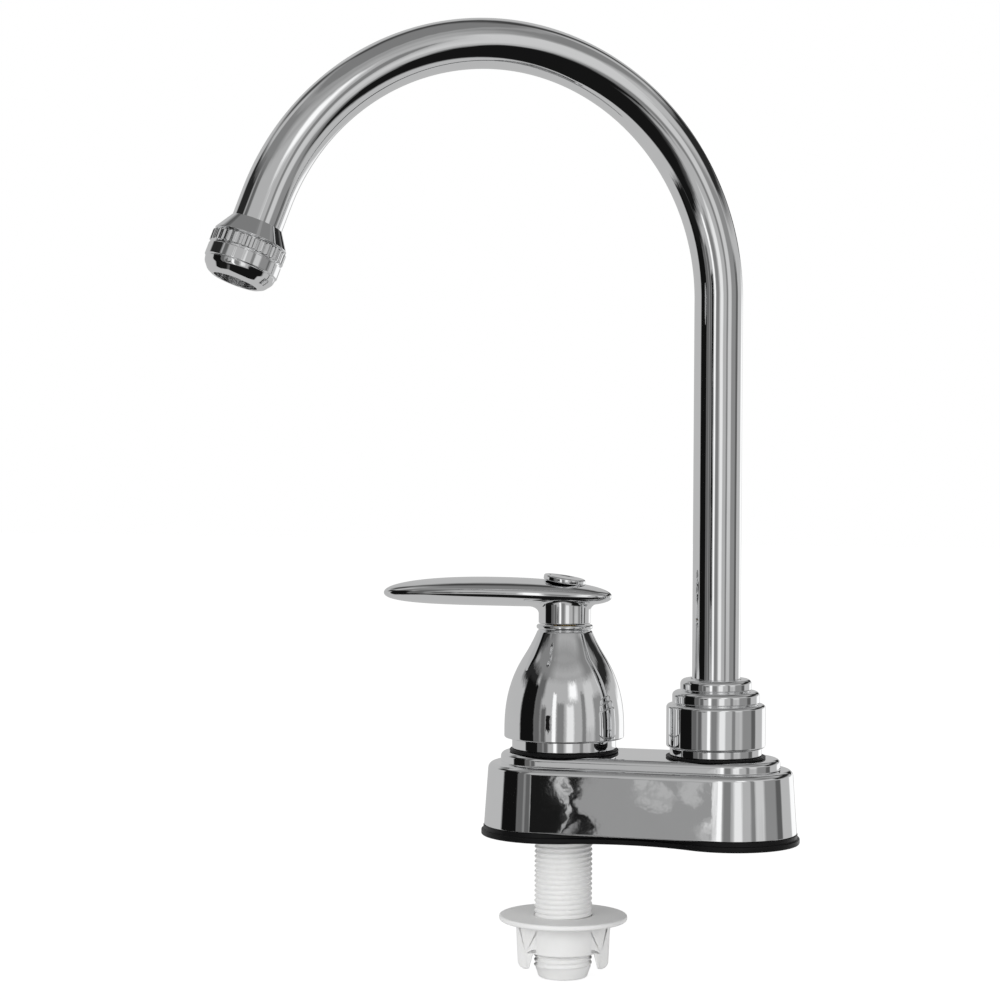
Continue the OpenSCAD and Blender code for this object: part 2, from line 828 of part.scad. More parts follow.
module spout_tube() {
    color(CHROME) on_spout() spout_path(tube_d / 2, tube_d / 2 - tube_wall);
}

module spout_spigot() {
    collar_top = spigot_collar_z + spigot_collar_t;
    color(BRASS) at_spout() difference() {
        union() {
            translate([0, 0, spigot_foot]) cylinder(r = spigot_r, h = spigot_collar_z - spigot_foot);
            translate([0, 0, spigot_collar_z]) cylinder(r = post_d / 2 - 0.4, h = spigot_collar_t);
        }
        translate([0, 0, spigot_foot - 1]) cylinder(r = tube_d / 2 - 2.2, h = tube_foot - spigot_foot + 2);
        translate([0, 0, tube_foot]) cylinder(r = tube_d / 2, h = collar_top - tube_foot + 1);
        for (z = spigot_seal_z) {
            translate([0, 0, z]) seal_groove(spigot_groove_r, spigot_r, spigot_section);
        }
    }
}

module spout_o_rings() {
    color(BLACK) at_spout() for (z = spigot_seal_z) {
        translate([0, 0, z]) o_ring(spigot_groove_r, spigot_section);
    }
}

module aerator_collar() {
    color(CHROME) on_tip() difference() {
        turned([
            [0, 0],
            [tube_d / 2 + 0.3, 0],
            [cone_d / 2, cone_l - 0.2],
            [cone_d / 2, cone_l],
            [nose_r, cone_l],
            [nose_r, nose_end],
            [0, nose_end]
        ]);
        translate([0, 0, -1]) cylinder(r = tube_d / 2 - end_cut + run_gap, h = tube_in + 1);
        translate([0, 0, -1]) cylinder(r = throat_r, h = nose_end + 2);
    }
}

module aerator_housing() {
    band_r = band_d / 2;
    barrel_r = band_r - 0.2;
    groove_r = band_r - 0.7;
    lip_r = 3.4;
    color(CHROME) on_tip() difference() {
        turned(concat(
            [[0, band_z], [band_r - 0.4, band_z], [band_r, band_z + 0.4]],
            [[band_r, band_z + band_l - 0.3], [groove_r, band_z + band_l], [groove_r, barrel_z]],
            [[barrel_r, barrel_z + 0.3], [barrel_r, barrel_z + barrel_l]],
            [[groove_r, barrel_z + barrel_l + 0.2]],
            arc(groove_r - lip_r, aerator_end - lip_r - 0.6, lip_r, 10, 66),
            [[mouth_d / 2 + 0.3, aerator_end], [0, aerator_end]]
        ));
        translate([0, 0, band_z - 1]) cylinder(r = nose_r + run_gap, h = shelf_t - band_z + 1);
        translate([0, 0, band_z]) cylinder(r = insert_r + 0.2, h = screen_z + screen_t - band_z);
        translate([0, 0, band_z]) cylinder(r = mouth_d / 2, h = aerator_end - band_z + 1);
        for (i = [0 : flute_n - 1]) {
            rotate([0, 0, 360 * i / flute_n]) translate([band_r + flute_depth, 0, band_z - 0.5]) {
                cylinder(r = 2 * flute_depth, h = band_l + 0.5);
            }
        }
    }
}

module aerator_washer() {
    color(BLACK) on_tip() ring(nose_end, shelf_t - rim_t, throat_r, nose_r - 0.1);
}

module aerator_insert() {
    plate_t = 2;
    color(WHITE) on_tip() difference() {
        union() {
            translate([0, 0, shelf_t - rim_t]) cylinder(r = nose_r - 0.1, h = rim_t);
            translate([0, 0, shelf_t - rim_t]) cylinder(r = insert_r, h = rim_t + insert_l);
        }
        translate([0, 0, shelf_t - rim_t + plate_t]) cylinder(r = insert_r - 1.4, h = insert_l);
        for (i = [0 : 11]) {
            rotate([0, 0, 30 * i]) translate([5, 0, shelf_t - rim_t - 1]) cylinder(r = 0.7, h = plate_t + 2);
        }
    }
}

module aerator_screen() {
    rows = 3;
    color(CHROME) on_tip() difference() {
        translate([0, 0, screen_z]) cylinder(r = insert_r, h = screen_t);
        for (i = [-rows : rows], j = [-rows : rows]) {
            if (abs(i + j) <= rows) {
                translate([screen_pitch * (i + j / 2), screen_pitch * j * sin(60), screen_z - 1]) {
                    cylinder(r = screen_hole_r, h = screen_t + 2);
                }
            }
        }
    }
}

// One wing: a tab with a rounded toe that grows from its thin outer edge to nearly the hub's full width
module wing() {
    outer = wing_span / 2;
    toe_r = 2.6;
    lean = 0.6;
    root = 1;
    root_x = 0.6 * nut_hub_r;
    edge = [outer, wing_t / 2];
    turn = atan2(edge[1], edge[0]) + acos(nut_hub_r / norm(edge));
    side = (nut_hub_r - 0.2) * [cos(turn), sin(turn)];
    intersection() {
        rotate([90, 0, 0]) translate([0, 0, -nut_hub_r]) linear_extrude(2 * nut_hub_r) polygon(concat(
            [[root_x, root], [outer + 1, root], [outer + lean, 0]],
            arc(outer - lean - toe_r, toe_r - wing_h, toe_r, 0, -130),
            [[nut_bore_r + 0.15, root - wing_hub_h], [root_x, root - wing_hub_h]]
        ));
        translate([0, 0, -wing_h - 1]) linear_extrude(wing_h + 3) {
            polygon([[0, 0], side, edge, [edge[0], -edge[1]], [side[0], -side[1]]]);
        }
    }
}

module wing_nut() {
    color(WHITE) translate([0, 0, -nut_drop - wing_flange_t]) difference() {
        union() {
            cylinder(r = wing_flange_d / 2, h = wing_flange_t);
            translate([0, 0, -wing_hub_h]) cylinder(r = nut_hub_r, h = wing_hub_h + 1);
            for (a = [0, 180]) {
                rotate([0, 0, nut_turn + a]) wing();
            }
        }
        translate([0, 0, -wing_h - 1]) cylinder(r = nut_bore_r, h = wing_h + wing_flange_t + 2);
    }
}

base_cover();
deck_gasket();
valve_body();
base_washer();
collar_ring();
bonnet_nut();
bell();
neck_disc();
cartridge_housing();
cartridge_seal();
fixed_disc();
crossover_tube();
crossover_o_rings();
spout_post();
spout_washer();
spout_base_ring();
spout_nut();
thrust_washer();
spout_bushing();
lever_handle();
handle_screw();
index_button();
spindle();
spindle_o_ring();
moving_disc();
spout_tube();
spout_spigot();
spout_o_rings();
aerator_collar();
aerator_housing();
aerator_washer();
aerator_insert();
aerator_screen();
wing_nut();
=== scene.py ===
"""Gooseneck bar faucet, dressed for a picture.

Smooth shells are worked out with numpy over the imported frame, each piece gets a procedural finish,
and a plain pale studio surrounds them. Sizes are in millimetres until a mesh is made.
"""
import json
from math import atan2, pi, radians

import bmesh
import bpy
import numpy as np
from bpy.props import FloatProperty, FloatVectorProperty, IntProperty, PointerProperty
from mathutils import Matrix, Vector


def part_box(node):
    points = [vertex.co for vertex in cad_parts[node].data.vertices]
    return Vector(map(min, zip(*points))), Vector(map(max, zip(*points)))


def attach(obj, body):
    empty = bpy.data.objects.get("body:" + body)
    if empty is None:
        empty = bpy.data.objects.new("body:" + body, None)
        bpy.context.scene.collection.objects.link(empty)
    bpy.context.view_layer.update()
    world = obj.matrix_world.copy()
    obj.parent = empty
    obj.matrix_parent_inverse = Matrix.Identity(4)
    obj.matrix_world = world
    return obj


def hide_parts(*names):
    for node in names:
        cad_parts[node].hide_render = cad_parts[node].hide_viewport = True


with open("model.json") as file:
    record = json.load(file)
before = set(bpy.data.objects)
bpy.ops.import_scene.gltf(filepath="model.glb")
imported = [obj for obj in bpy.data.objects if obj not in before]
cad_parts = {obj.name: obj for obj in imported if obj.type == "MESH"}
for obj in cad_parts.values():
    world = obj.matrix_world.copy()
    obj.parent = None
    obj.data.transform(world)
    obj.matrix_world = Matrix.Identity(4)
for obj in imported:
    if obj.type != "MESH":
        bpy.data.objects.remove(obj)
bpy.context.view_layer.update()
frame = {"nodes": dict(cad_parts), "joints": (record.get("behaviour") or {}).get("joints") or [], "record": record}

bl_info = {
    "name": "Gooseneck Bar Faucet",
    "version": (1, 0, 0),
    "blender": (4, 5, 0),
    "location": "View3D > Sidebar > Faucet",
    "description": "Builds the shells, the finishes and the studio of a gooseneck bar faucet",
    "category": "Add Mesh",
}

MM = 0.001

# Radii of holes in millimetres: round the spindle's neck, and round the spout's post
NECK_HOLE = 7.4
POST_HOLE = 12.05

# Distances in metres within which points are merged, and edges are dropped
MERGE = 1e-7
TINY_EDGE = 1e-8


# ---- sizes, finishes and studio values


class FaucetSizes(bpy.types.PropertyGroup):
    """Sizes of the shells in millimetres, beside what the frame itself gives."""

    gasket_waist: FloatProperty(name="Gasket waist", description="Width of the gasket's waist", default=37.0)
    cover_wall: FloatProperty(name="Cover wall", description="Wall of the deck cover", default=2.2)
    cover_draft: FloatProperty(name="Cover draft", description="Lean of the cover's side", default=1.5)
    shoulder: FloatProperty(name="Shoulder", description="Radius of the cover's shoulder", default=4.4)
    crown: FloatProperty(name="Crown", description="Radius of the cover's upper step", default=3.6)
    tower: FloatProperty(name="Tower", description="Diameter of the valve's tower", default=26.4)
    shank: FloatProperty(name="Shank", description="Diameter of the threaded shank", default=21.34)
    pitch: FloatProperty(name="Thread pitch", description="Pitch of the shank's thread", default=1.814)
    thread_depth: FloatProperty(name="Thread depth", description="Depth of the shank's thread", default=0.62)
    bell_skirt: FloatProperty(name="Bell skirt", description="Height of the bell's straight skirt", default=2.0)
    bell_turn: FloatProperty(name="Bell turn", description="Height where the flank turns hollow", default=29.7)
    bell_draw: FloatProperty(name="Bell draw", description="How far the flank has drawn in there", default=7.1)
    bell_power: FloatProperty(name="Bell power", description="Sharpness of the swelling flank", default=2.46)
    bell_neck: FloatProperty(name="Bell neck", description="Diameter of the bell's neck", default=19.4)
    blade_power: FloatProperty(name="Blade power", description="Bluntness of the blade's ends", default=2.4)
    blade_thick: FloatProperty(name="Blade thickness", description="Thickness of the blade", default=10.6)
    blade_droop: FloatProperty(name="Blade droop", description="Droop of the blade's ends", default=1.2)
    hub_width: FloatProperty(name="Hub", description="Diameter of the lever's hub", default=19.2)
    hub_rise: FloatProperty(name="Hub rise", description="Hub's foot to the blade's middle", default=11.0)
    button_tilt: FloatProperty(name="Button tilt", description="Tilt of the button in degrees", default=9.0)
    button_rise: FloatProperty(name="Button rise", description="Button's top over the blade", default=5.9)
    button_width: FloatProperty(name="Button", description="Diameter of the button", default=15.4)
    button_thick: FloatProperty(name="Button thickness", description="Thickness of the button", default=2.0)
    tube_width: FloatProperty(name="Tube", description="Diameter of the spout's tube", default=17.4)
    bend_z: FloatProperty(name="Bend height", description="Height where the bend starts", default=195.6)
    rise_r: FloatProperty(name="Rising bend", description="Radius up to the top of the arch", default=86.4)
    fall_r: FloatProperty(name="Falling bend", description="Radius from the top to the tip", default=89.2)
    fall_angle: FloatProperty(name="Falling angle", description="Angle of that bend in degrees", default=68.8)
    end_l: FloatProperty(name="Straight end", description="Tube between the bend and the aerator", default=9.2)
    swing: FloatProperty(name="Swing", description="Direction of the spout in degrees", default=37.8)
    flutes: IntProperty(name="Flutes", description="Flutes round the aerator", default=32)
    flute_depth: FloatProperty(name="Flute depth", description="Depth of the flutes", default=0.42)
    wing_span: FloatProperty(name="Wing span", description="Across the wing nut's tabs", default=34.6)
    wing_tip: FloatProperty(name="Wing tip", description="Thickness of a tab's outer edge", default=4.0)
    nut_turn: FloatProperty(name="Wing nut turn", description="Turn of the wing nut in degrees", default=15.6)


class FaucetFinish(bpy.types.PropertyGroup):
    """Colours and roughness of the finishes."""

    chrome: FloatVectorProperty(name="Chrome", description="Polished chrome", subtype="COLOR",
                                default=(0.93, 0.935, 0.94), min=0, max=1)
    chrome_rough: FloatProperty(name="Chrome roughness", description="Roughness of the plating", default=0.014)
    rubber: FloatVectorProperty(name="Rubber", description="Black rubber", subtype="COLOR",
                                default=(0.005, 0.005, 0.0055), min=0, max=1)
    plastic: FloatVectorProperty(name="Plastic", description="White moulded plastic", subtype="COLOR",
                                 default=(0.83, 0.83, 0.825), min=0, max=1)
    nylon: FloatVectorProperty(name="Nylon", description="Natural nylon", subtype="COLOR",
                               default=(0.80, 0.79, 0.74), min=0, max=1)
    brass: FloatVectorProperty(name="Brass", description="Machined brass", subtype="COLOR",
                               default=(0.78, 0.58, 0.26), min=0, max=1)
    ceramic: FloatVectorProperty(name="Ceramic", description="Lapped ceramic", subtype="COLOR",
                                 default=(0.80, 0.77, 0.70), min=0, max=1)
    steel: FloatVectorProperty(name="Steel", description="Stainless steel", subtype="COLOR",
                               default=(0.60, 0.60, 0.60), min=0, max=1)


class FaucetStudio(bpy.types.PropertyGroup):
    """Camera and light."""

    eye: FloatVectorProperty(name="Camera", description="Place of the camera in millimetres",
                             default=(223.27, -889.9, 143.1))
    pan: FloatProperty(name="Pan", description="Camera's turn to the left in radians", default=0.272)
    tilt: FloatProperty(name="Tilt", description="Camera's downward tilt in radians", default=0.022)
    roll: FloatProperty(name="Roll", description="Camera's roll in radians", default=0.005)
    lens: FloatProperty(name="Lens", description="Focal length in millimetres", default=90.0)
    fill: FloatProperty(name="Fill", description="Plain light from all round", default=0.9)
    key: FloatProperty(name="Key", description="Power of the soft key light in watts", default=6.0)
    front: FloatProperty(name="Front", description="Direction the cards' azimuth counts from in degrees",
                         default=-79.4)
    floor_drop: FloatProperty(name="Floor", description="Gap under the shank's end", default=0.4)


# ---- shapes as arrays of points


def span(node):
    """Lowest and highest corner of a frame node, in millimetres."""
    low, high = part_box(node)
    return np.array(low) / MM, np.array(high) / MM


def joint_at(name):
    """Place of a hinge in millimetres."""
    joint = next(j for j in frame["joints"] if j["name"] == name)
    return np.array(joint["pos_m"]) / MM


def arc(x, y, r, start, end, n=12):
    """Points x + r cos a, y + r sin a, for n + 1 angles a from start to end in degrees."""
    a = np.radians(np.linspace(start, end, n + 1))
    return np.stack([x + r * np.cos(a), y + r * np.sin(a)], axis=1)


def rounded(corners, closed=True, steps=7):
    """Outline through corners (x, y, radius): each corner becomes the arc that touches both its sides.

    Long sides get a point close to each of their ends, so that the shading of the flat stays flat.
    """
    data = np.array(corners, float)
    xy, radius = data[:, :2], data[:, 2]
    before, after = np.roll(xy, 1, axis=0) - xy, np.roll(xy, -1, axis=0) - xy
    out = []
    for i, p in enumerate(xy):
        at_end = not closed and i in (0, len(xy) - 1)
        if at_end or radius[i] == 0:
            out.append(p[None])
            continue
        a, b = (v[i] / np.linalg.norm(v[i]) for v in (before, after))
        half = np.arccos(np.clip(a @ b, -1, 1)) / 2
        reach = min(radius[i] / np.tan(half), 0.49 * np.linalg.norm(before[i]), 0.49 * np.linalg.norm(after[i]))
        r = reach * np.tan(half)
        centre = p + (a + b) / np.linalg.norm(a + b) * r / np.sin(half)
        s = np.linspace(0, 1, steps + 1)[:, None]
        spoke = (p + a * reach - centre) * (1 - s) + (p + b * reach - centre) * s
        out.append(centre + r * spoke / np.linalg.norm(spoke, axis=1, keepdims=True))
    line = np.concatenate(out)
    return supported(line, closed)


def supported(line, closed, near=0.18, least=1.2):
    """The line with an extra point near both ends of every side that is longer than least."""
    nxt = np.roll(line, -1, axis=0)
    step = nxt - line
    length = np.linalg.norm(step, axis=1)
    if not closed:
        length[-1] = 0
    parts = []
    for p, d, l in zip(line, step, length):
        parts.append(p[None])
        if l > least:
            parts.append(p + d * np.array([[near / l], [1 - near / l]]))
    return np.concatenate(parts)


def revolve(outline, turns=144, centre=(0.0, 0.0)):
    """Grid of an outline (r, z) turned about the upright line through centre: r cos a, r sin a, z."""
    a = np.linspace(0, 2 * pi, turns, endpoint=False)
    r, z = outline[:, :1], outline[:, 1:]
    x, y = centre[0] + r * np.cos(a), centre[1] + r * np.sin(a)
    return np.stack([x, y, np.broadcast_to(z, x.shape)], axis=2)


def moved(grid, matrix):
    """Grid of points carried by a 4 x 4 matrix."""
    return grid @ matrix[:3, :3].T + matrix[:3, 3]


def ring_outline(r_in, r_out, z0, z1, round_by):
    """Closed outline of a plain ring with its outer edges rounded."""
    return rounded([(r_in, z0, 0.1), (r_out, z0, round_by), (r_out, z1, round_by), (r_in, z1, 0.1)])


def power(v, p):
    """Signed power of an array."""
    return np.sign(v) * np.abs(v) ** p


def blade_edge(sizes, low, high, x):
    """Half width factor of the blade at x: (1 - |u|^p)^(1/p), where u runs from -1 to 1 along the blade."""
    u = (x - (low[0] + high[0]) / 2) / ((high[0] - low[0]) / 2)
    return (1 - np.clip(np.abs(u), 0, 1) ** sizes.blade_power) ** (1 / sizes.blade_power), u


# ---- meshes


def grid_faces(nu, nv, wrap_u, wrap_v, first):
    """Four-sided faces between the neighbours of an nu by nv grid, wrapped where asked."""
    index = np.arange(nu * nv).reshape(nu, nv) + first
    if wrap_u:
        index = np.concatenate([index, index[:1]])
    if wrap_v:
        index = np.concatenate([index, index[:, :1]], axis=1)
    quads = np.stack([index[:-1, :-1], index[1:, :-1], index[1:, 1:], index[:-1, 1:]], axis=2)
    return quads.reshape(-1, 4)


def make_piece(name, grids, finish, body, node, slot, sharp=40):
    """One object from grids (points, wrap_u, wrap_v): doubles merged, faces outward, in the look of its slot.

    It is shaded smooth but for edges sharper than sharp degrees.
    """
    points, faces, count = [], [], 0
    for grid, wrap_u, wrap_v in grids:
        nu, nv = grid.shape[:2]
        points.append(grid.reshape(-1, 3) * MM)
        faces.append(grid_faces(nu, nv, wrap_u, wrap_v, count))
        count += nu * nv
    mesh = bpy.data.meshes.new(name)
    mesh.from_pydata(np.concatenate(points).tolist(), [], np.concatenate(faces).tolist())
    edit = bmesh.new()
    edit.from_mesh(mesh)
    bmesh.ops.remove_doubles(edit, verts=edit.verts, dist=MERGE)
    bmesh.ops.dissolve_degenerate(edit, edges=edit.edges, dist=TINY_EDGE)
    bmesh.ops.recalc_face_normals(edit, faces=edit.faces)
    edit.to_mesh(mesh)
    edit.free()
    mesh.polygons.foreach_set("use_smooth", np.ones(len(mesh.polygons), bool))
    mesh.set_sharp_from_angle(angle=radians(sharp))
    mesh.materials.append(look(finish, slot))
    piece = bpy.data.objects.new(name, mesh)
    bpy.context.scene.collection.objects.link(piece)
    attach(piece, body)
    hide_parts(node)


# ---- finishes


def noise(tree, coords, scale, detail=2.0, stretch=(1, 1, 1)):
    """Noise in the object's own space, stretched along its axes."""
    mapping = tree.nodes.new("ShaderNodeMapping")
    mapping.inputs["Scale"].default_value = stretch
    texture = tree.nodes.new("ShaderNodeTexNoise")
    texture.inputs["Scale"].default_value = scale
    texture.inputs["Detail"].default_value = detail
    tree.links.new(coords.outputs["Object"], mapping.inputs["Vector"])
    tree.links.new(mapping.outputs["Vector"], texture.inputs["Vector"])
    return texture.outputs["Fac"]


def spread(tree, value, low, high):
    """Value between 0.3 and 0.7 spread to low and high."""
    node = tree.nodes.new("ShaderNodeMapRange")
    node.inputs["From Min"].default_value = 0.3
    node.inputs["From Max"].default_value = 0.7
    node.inputs["To Min"].default_value = low
    node.inputs["To Max"].default_value = high
    tree.links.new(value, node.inputs["Value"])
    return node.outputs["Result"]


def bump(tree, shader, layers):
    """Bump layers (height, strength, distance in metres), one on the other."""
    last = None
    for height, strength, distance in layers:
        node = tree.nodes.new("ShaderNodeBump")
        node.inputs["Strength"].default_value = strength
        node.inputs["Distance"].default_value = distance
        tree.links.new(height, node.inputs["Height"])
        if last:
            tree.links.new(last, node.inputs["Normal"])
        last = node.outputs["Normal"]
    tree.links.new(last, shader.inputs["Normal"])


def tint(tree, shader, color, value, amount):
    """Base colour that darkens by amount where value is low."""
    mix = tree.nodes.new("ShaderNodeMix")
    mix.data_type = "RGBA"
    mix.inputs["A"].default_value = (*[c * (1 - amount) for c in color], 1)
    mix.inputs["B"].default_value = (*color, 1)
    tree.links.new(value, mix.inputs["Factor"])
    tree.links.new(mix.outputs["Result"], shader.inputs["Base Color"])


# Noises as scale, detail and stretch
FLOW = (70, 3, (1, 1, 0.4))
SPECK = (1800, 3)
DRAWN = (1200, 2, (1, 0.08, 1))
RINGS = (900, 2, (0.05, 0.05, 1))
MOULDED = [(FLOW, 0.15, 0.0002), ((1500, 2), 0.1, 0.00004)]
SOFT = {"Subsurface Weight": 0.15, "Subsurface Radius": (0.003, 0.003, 0.0027)}

# slot: colour, metallic, roughness (plain, low, high; chrome's are shares of its own), noise of the clouds,
# how much they darken, bump layers (noise, strength, distance in metres) and other inputs of the shader
LOOKS = {
    "chrome": ("chrome", 1.0, (1.0, 0.6, 1.8), (90, 4), 0.05,
               [((28, 1), 0.4, 0.0005), ((420, 1), 0.2, 0.00001)], {}),
    "black_rubber": ("rubber", 0.0, (0.42, 0.34, 0.52), (120, 3), 0.35, [((2600, 3), 0.25, 0.00006)],
                     {"Specular IOR Level": 0.25}),
    "white_plastic": ("plastic", 0.0, (0.42, 0.36, 0.5), FLOW, 0.05, MOULDED, SOFT),
    "white_nylon": ("nylon", 0.0, (0.42, 0.36, 0.5), FLOW, 0.05, MOULDED, SOFT),
    "brass": ("brass", 1.0, (0.25, 0.18, 0.38), (140, 3), 0.25, [(RINGS, 0.2, 0.00003)], {}),
    "ceramic": ("ceramic", 0.0, (0.3, 0.22, 0.4), SPECK, 0.15, [(SPECK, 0.1, 0.00002)], {}),
    "steel": ("steel", 1.0, (0.3, 0.2, 0.4), DRAWN, 0.1, [(DRAWN, 0.2, 0.00003)], {}),
}


def look(finish, slot):
    """Material of a slot, made when it is first asked for: one noise gives its roughness and its clouds.

    The frame brings plain materials named like its slots, so these have a name of their own.
    """
    name = "faucet_" + slot
    material = bpy.data.materials.get(name)
    if material:
        return material
    kind, metallic, rough, clouds, dark, layers, others = LOOKS[slot]
    color = getattr(finish, kind)
    scale = finish.chrome_rough if kind == "chrome" else 1
    plain, low, high = (share * scale for share in rough)
    material = bpy.data.materials.new(name)
    material.use_nodes = True
    tree = material.node_tree
    shader = tree.nodes["Principled BSDF"]
    coords = tree.nodes.new("ShaderNodeTexCoord")
    values = {"Base Color": (*color, 1), "Metallic": metallic, "Roughness": plain, **others}
    for socket, value in values.items():
        shader.inputs[socket].default_value = value
    cloud = noise(tree, coords, *clouds)
    tree.links.new(spread(tree, cloud, low, high), shader.inputs["Roughness"])
    tint(tree, shader, color, cloud, dark)
    bump(tree, shader, [(noise(tree, coords, *grain), strength, distance) for grain, strength, distance in layers])
    return material


# ---- deck cover and gasket


def lozenge(inset, height, low, high, ends=64, sides=28):
    """Grid of a plan with full-round ends: each row is the plan drawn in by inset, at its height.

    The ends are half circles of radius R - inset about fixed centres, joined by straight sides.
    """
    r = (high[1] - low[1]) / 2
    left, right = low[0] + r, high[0] - r
    rho = r - inset[:, None]
    a = np.linspace(-pi / 2, pi / 2, ends)
    s = np.linspace(0, 1, sides + 2)[1:-1]
    x = np.concatenate([
        right + rho * np.cos(a),
        np.broadcast_to(right + (left - right) * s, (len(rho), sides)),
        left - rho * np.cos(a),
        np.broadcast_to(left + (right - left) * s, (len(rho), sides)),
    ], axis=1)
    y = np.concatenate([
        rho * np.sin(a), rho * np.ones(sides), -rho * np.sin(a), -rho * np.ones(sides),
    ], axis=1)
    return np.stack([x, y, np.broadcast_to(height[:, None], x.shape)], axis=2)


def cover_profile(sizes, width, height):
    """Section of the cover from the middle of its top, down the outside and up the inside, as (inset, z).

    The crown and the shoulder are a little smaller than their steps, so that each ends in a short straight.
    """
    r, wall, edge = width / 2, sizes.cover_wall, 0.35
    step = sizes.cover_draft + sizes.shoulder + 0.2
    ledge = height - sizes.crown - 0.3
    return rounded([
        (r, height, 0),
        (step, height, sizes.crown - 0.05),
        (step, ledge, edge),
        (sizes.cover_draft + 0.1, ledge, sizes.shoulder - 0.1),
        (0, 0, edge),
        (wall, 0, edge),
        (sizes.cover_draft + wall, ledge - wall, 3),
        (step + wall, ledge - wall, 0.3),
        (step + wall, height - wall, 2),
        (r, height - wall, 0),
    ], closed=False, steps=10)


def build_cover(sizes, finish):
    """Deck cover: the section is carried round the plan."""
    low, high = span("base_cover")
    profile = cover_profile(sizes, high[1] - low[1], high[2] - low[2])
    grid = lozenge(profile[:, 0], low[2] + profile[:, 1], low, high)
    make_piece("cover_shell", [(grid, False, True)], finish, "base", "base_cover", "chrome")


def build_gasket(sizes, finish):
    """Gasket: two lobes joined by hollow sides that touch both circles; rows are drawn in along the normals."""
    low, high = span("deck_gasket")
    cover_low, _ = span("base_cover")
    lobe, waist = (high[1] - low[1]) / 2, sizes.gasket_waist / 2
    left, right = low[0] + lobe, high[0] - lobe
    half, middle = (right - left) / 2, (left + right) / 2
    hollow = (half**2 + waist**2 - lobe**2) / (2 * (lobe - waist))
    lean = np.degrees(atan2(waist + hollow, half))

    def stretch(x, y, r, start, end, n, out):
        p = arc(x, y, r, start, end, n)[:-1]
        return np.concatenate([p, out * (p - (x, y)) / r], axis=1)

    plan = np.concatenate([
        stretch(left, 0, lobe, 360 - lean, lean, 96, 1),
        stretch(middle, waist + hollow, hollow, 180 + lean, 360 - lean, 40, -1),
        stretch(right, 0, lobe, 180 - lean, lean - 180, 96, 1),
        stretch(middle, -waist - hollow, hollow, lean, 180 - lean, 40, -1),
    ])
    top, rim, lip, lip_h = cover_low[2], 3, 0.8, 1.6
    section = rounded([
        (rim, 0, 0), (0, 0, 0.5), (0, top - lip_h, 0.4), (lip, top - lip_h + 0.1, 0.2), (lip, top, 0.2),
        (rim, top, 0),
    ], closed=False)
    rows = plan[None, :, :2] - section[:, :1, None] * plan[None, :, 2:]
    hub = np.full((1, len(plan), 2), (middle, 0))
    rows = np.concatenate([hub, rows, hub])
    z = np.concatenate([[0], section[:, 1], [top]])
    grid = np.concatenate([rows, np.broadcast_to(z[:, None, None], (*rows.shape[:2], 1))], axis=2)
    make_piece("gasket_pad", [(grid, False, True)], finish, "base", "deck_gasket", "black_rubber")


def build_ring(name, node, r_in, round_by, finish, slot):
    """Plain ring over a ring node, with rounded edges."""
    low, high = span(node)
    centre = (low[:2] + high[:2]) / 2
    outline = ring_outline(r_in, (high[0] - low[0]) / 2, low[2], high[2], round_by)
    make_piece(name, [(revolve(outline, centre=centre), True, True)], finish, "base", node, slot)


# ---- bell and valve body


def bell_flank(sizes, foot_r, height):
    """Radius of the bell over its height.

    A power curve draws in from the skirt; above the turn a parabola with the same slope runs to the neck.
    """
    turn, skirt = sizes.bell_turn, sizes.bell_skirt
    h = np.concatenate([np.linspace(skirt, turn, 60), np.linspace(turn, height, 24)[1:]])
    swell = foot_r - sizes.bell_draw * (np.clip(h - skirt, 0, None) / (turn - skirt)) ** sizes.bell_power
    slope = sizes.bell_power * sizes.bell_draw / (turn - skirt)
    rest, up = height - turn, h - turn
    start = foot_r - sizes.bell_draw
    curve = (sizes.bell_neck / 2 - start + slope * rest) / rest**2
    return np.stack([np.where(h <= turn, swell, start - slope * up + curve * up**2), h], axis=1)


def build_bell(sizes, finish):
    """Bell: the flank's curve outside and a stepped cone inside, turned about the valve's axis."""
    low, high = span("bell")
    foot_r, height = (high[0] - low[0]) / 2, high[2] - low[2]
    flank = bell_flank(sizes, foot_r, height)
    neck_r, lip_r, edge, cavity_r, cavity_h = sizes.bell_neck / 2, 0.6, 0.5, 16.0, 15.0
    lip = arc(neck_r - lip_r, height - lip_r, lip_r, 0, 90, 6)
    flank = flank[flank[:, 1] < height - lip_r - 0.2]
    foot = arc(foot_r - edge, edge, edge, -90, 0, 6)
    inside = np.array([[NECK_HOLE, height], [NECK_HOLE, sizes.bell_turn], [cavity_r, cavity_h], [cavity_r, 0.0]])
    outline = supported(np.concatenate([foot, flank, lip, inside]), True)
    outline[:, 1] += low[2]
    make_piece("bell_cover", [(revolve(outline, 192), True, True)], finish, "base", "bell", "chrome")


def threaded(grid, z0, z1, pitch, depth):
    """Grid whose rows between z0 and z1 are cut by a thread.

    The radius falls by depth (1 - cos(2 pi (z / pitch - a / 2 pi)))^0.8 / 2^0.8, fading over a pitch at both ends.
    """
    r = np.hypot(grid[..., 0], grid[..., 1])
    a = np.arctan2(grid[..., 1], grid[..., 0])
    z = grid[..., 2]
    groove = ((1 - np.cos(2 * pi * z / pitch - a)) / 2) ** 0.8
    fade = np.clip((z - z0) / pitch, 0, 1) * np.clip((z1 - z) / pitch, 0, 1)
    scale = 1 - depth * groove * fade / r
    return np.stack([grid[..., 0] * scale, grid[..., 1] * scale, z], axis=2)


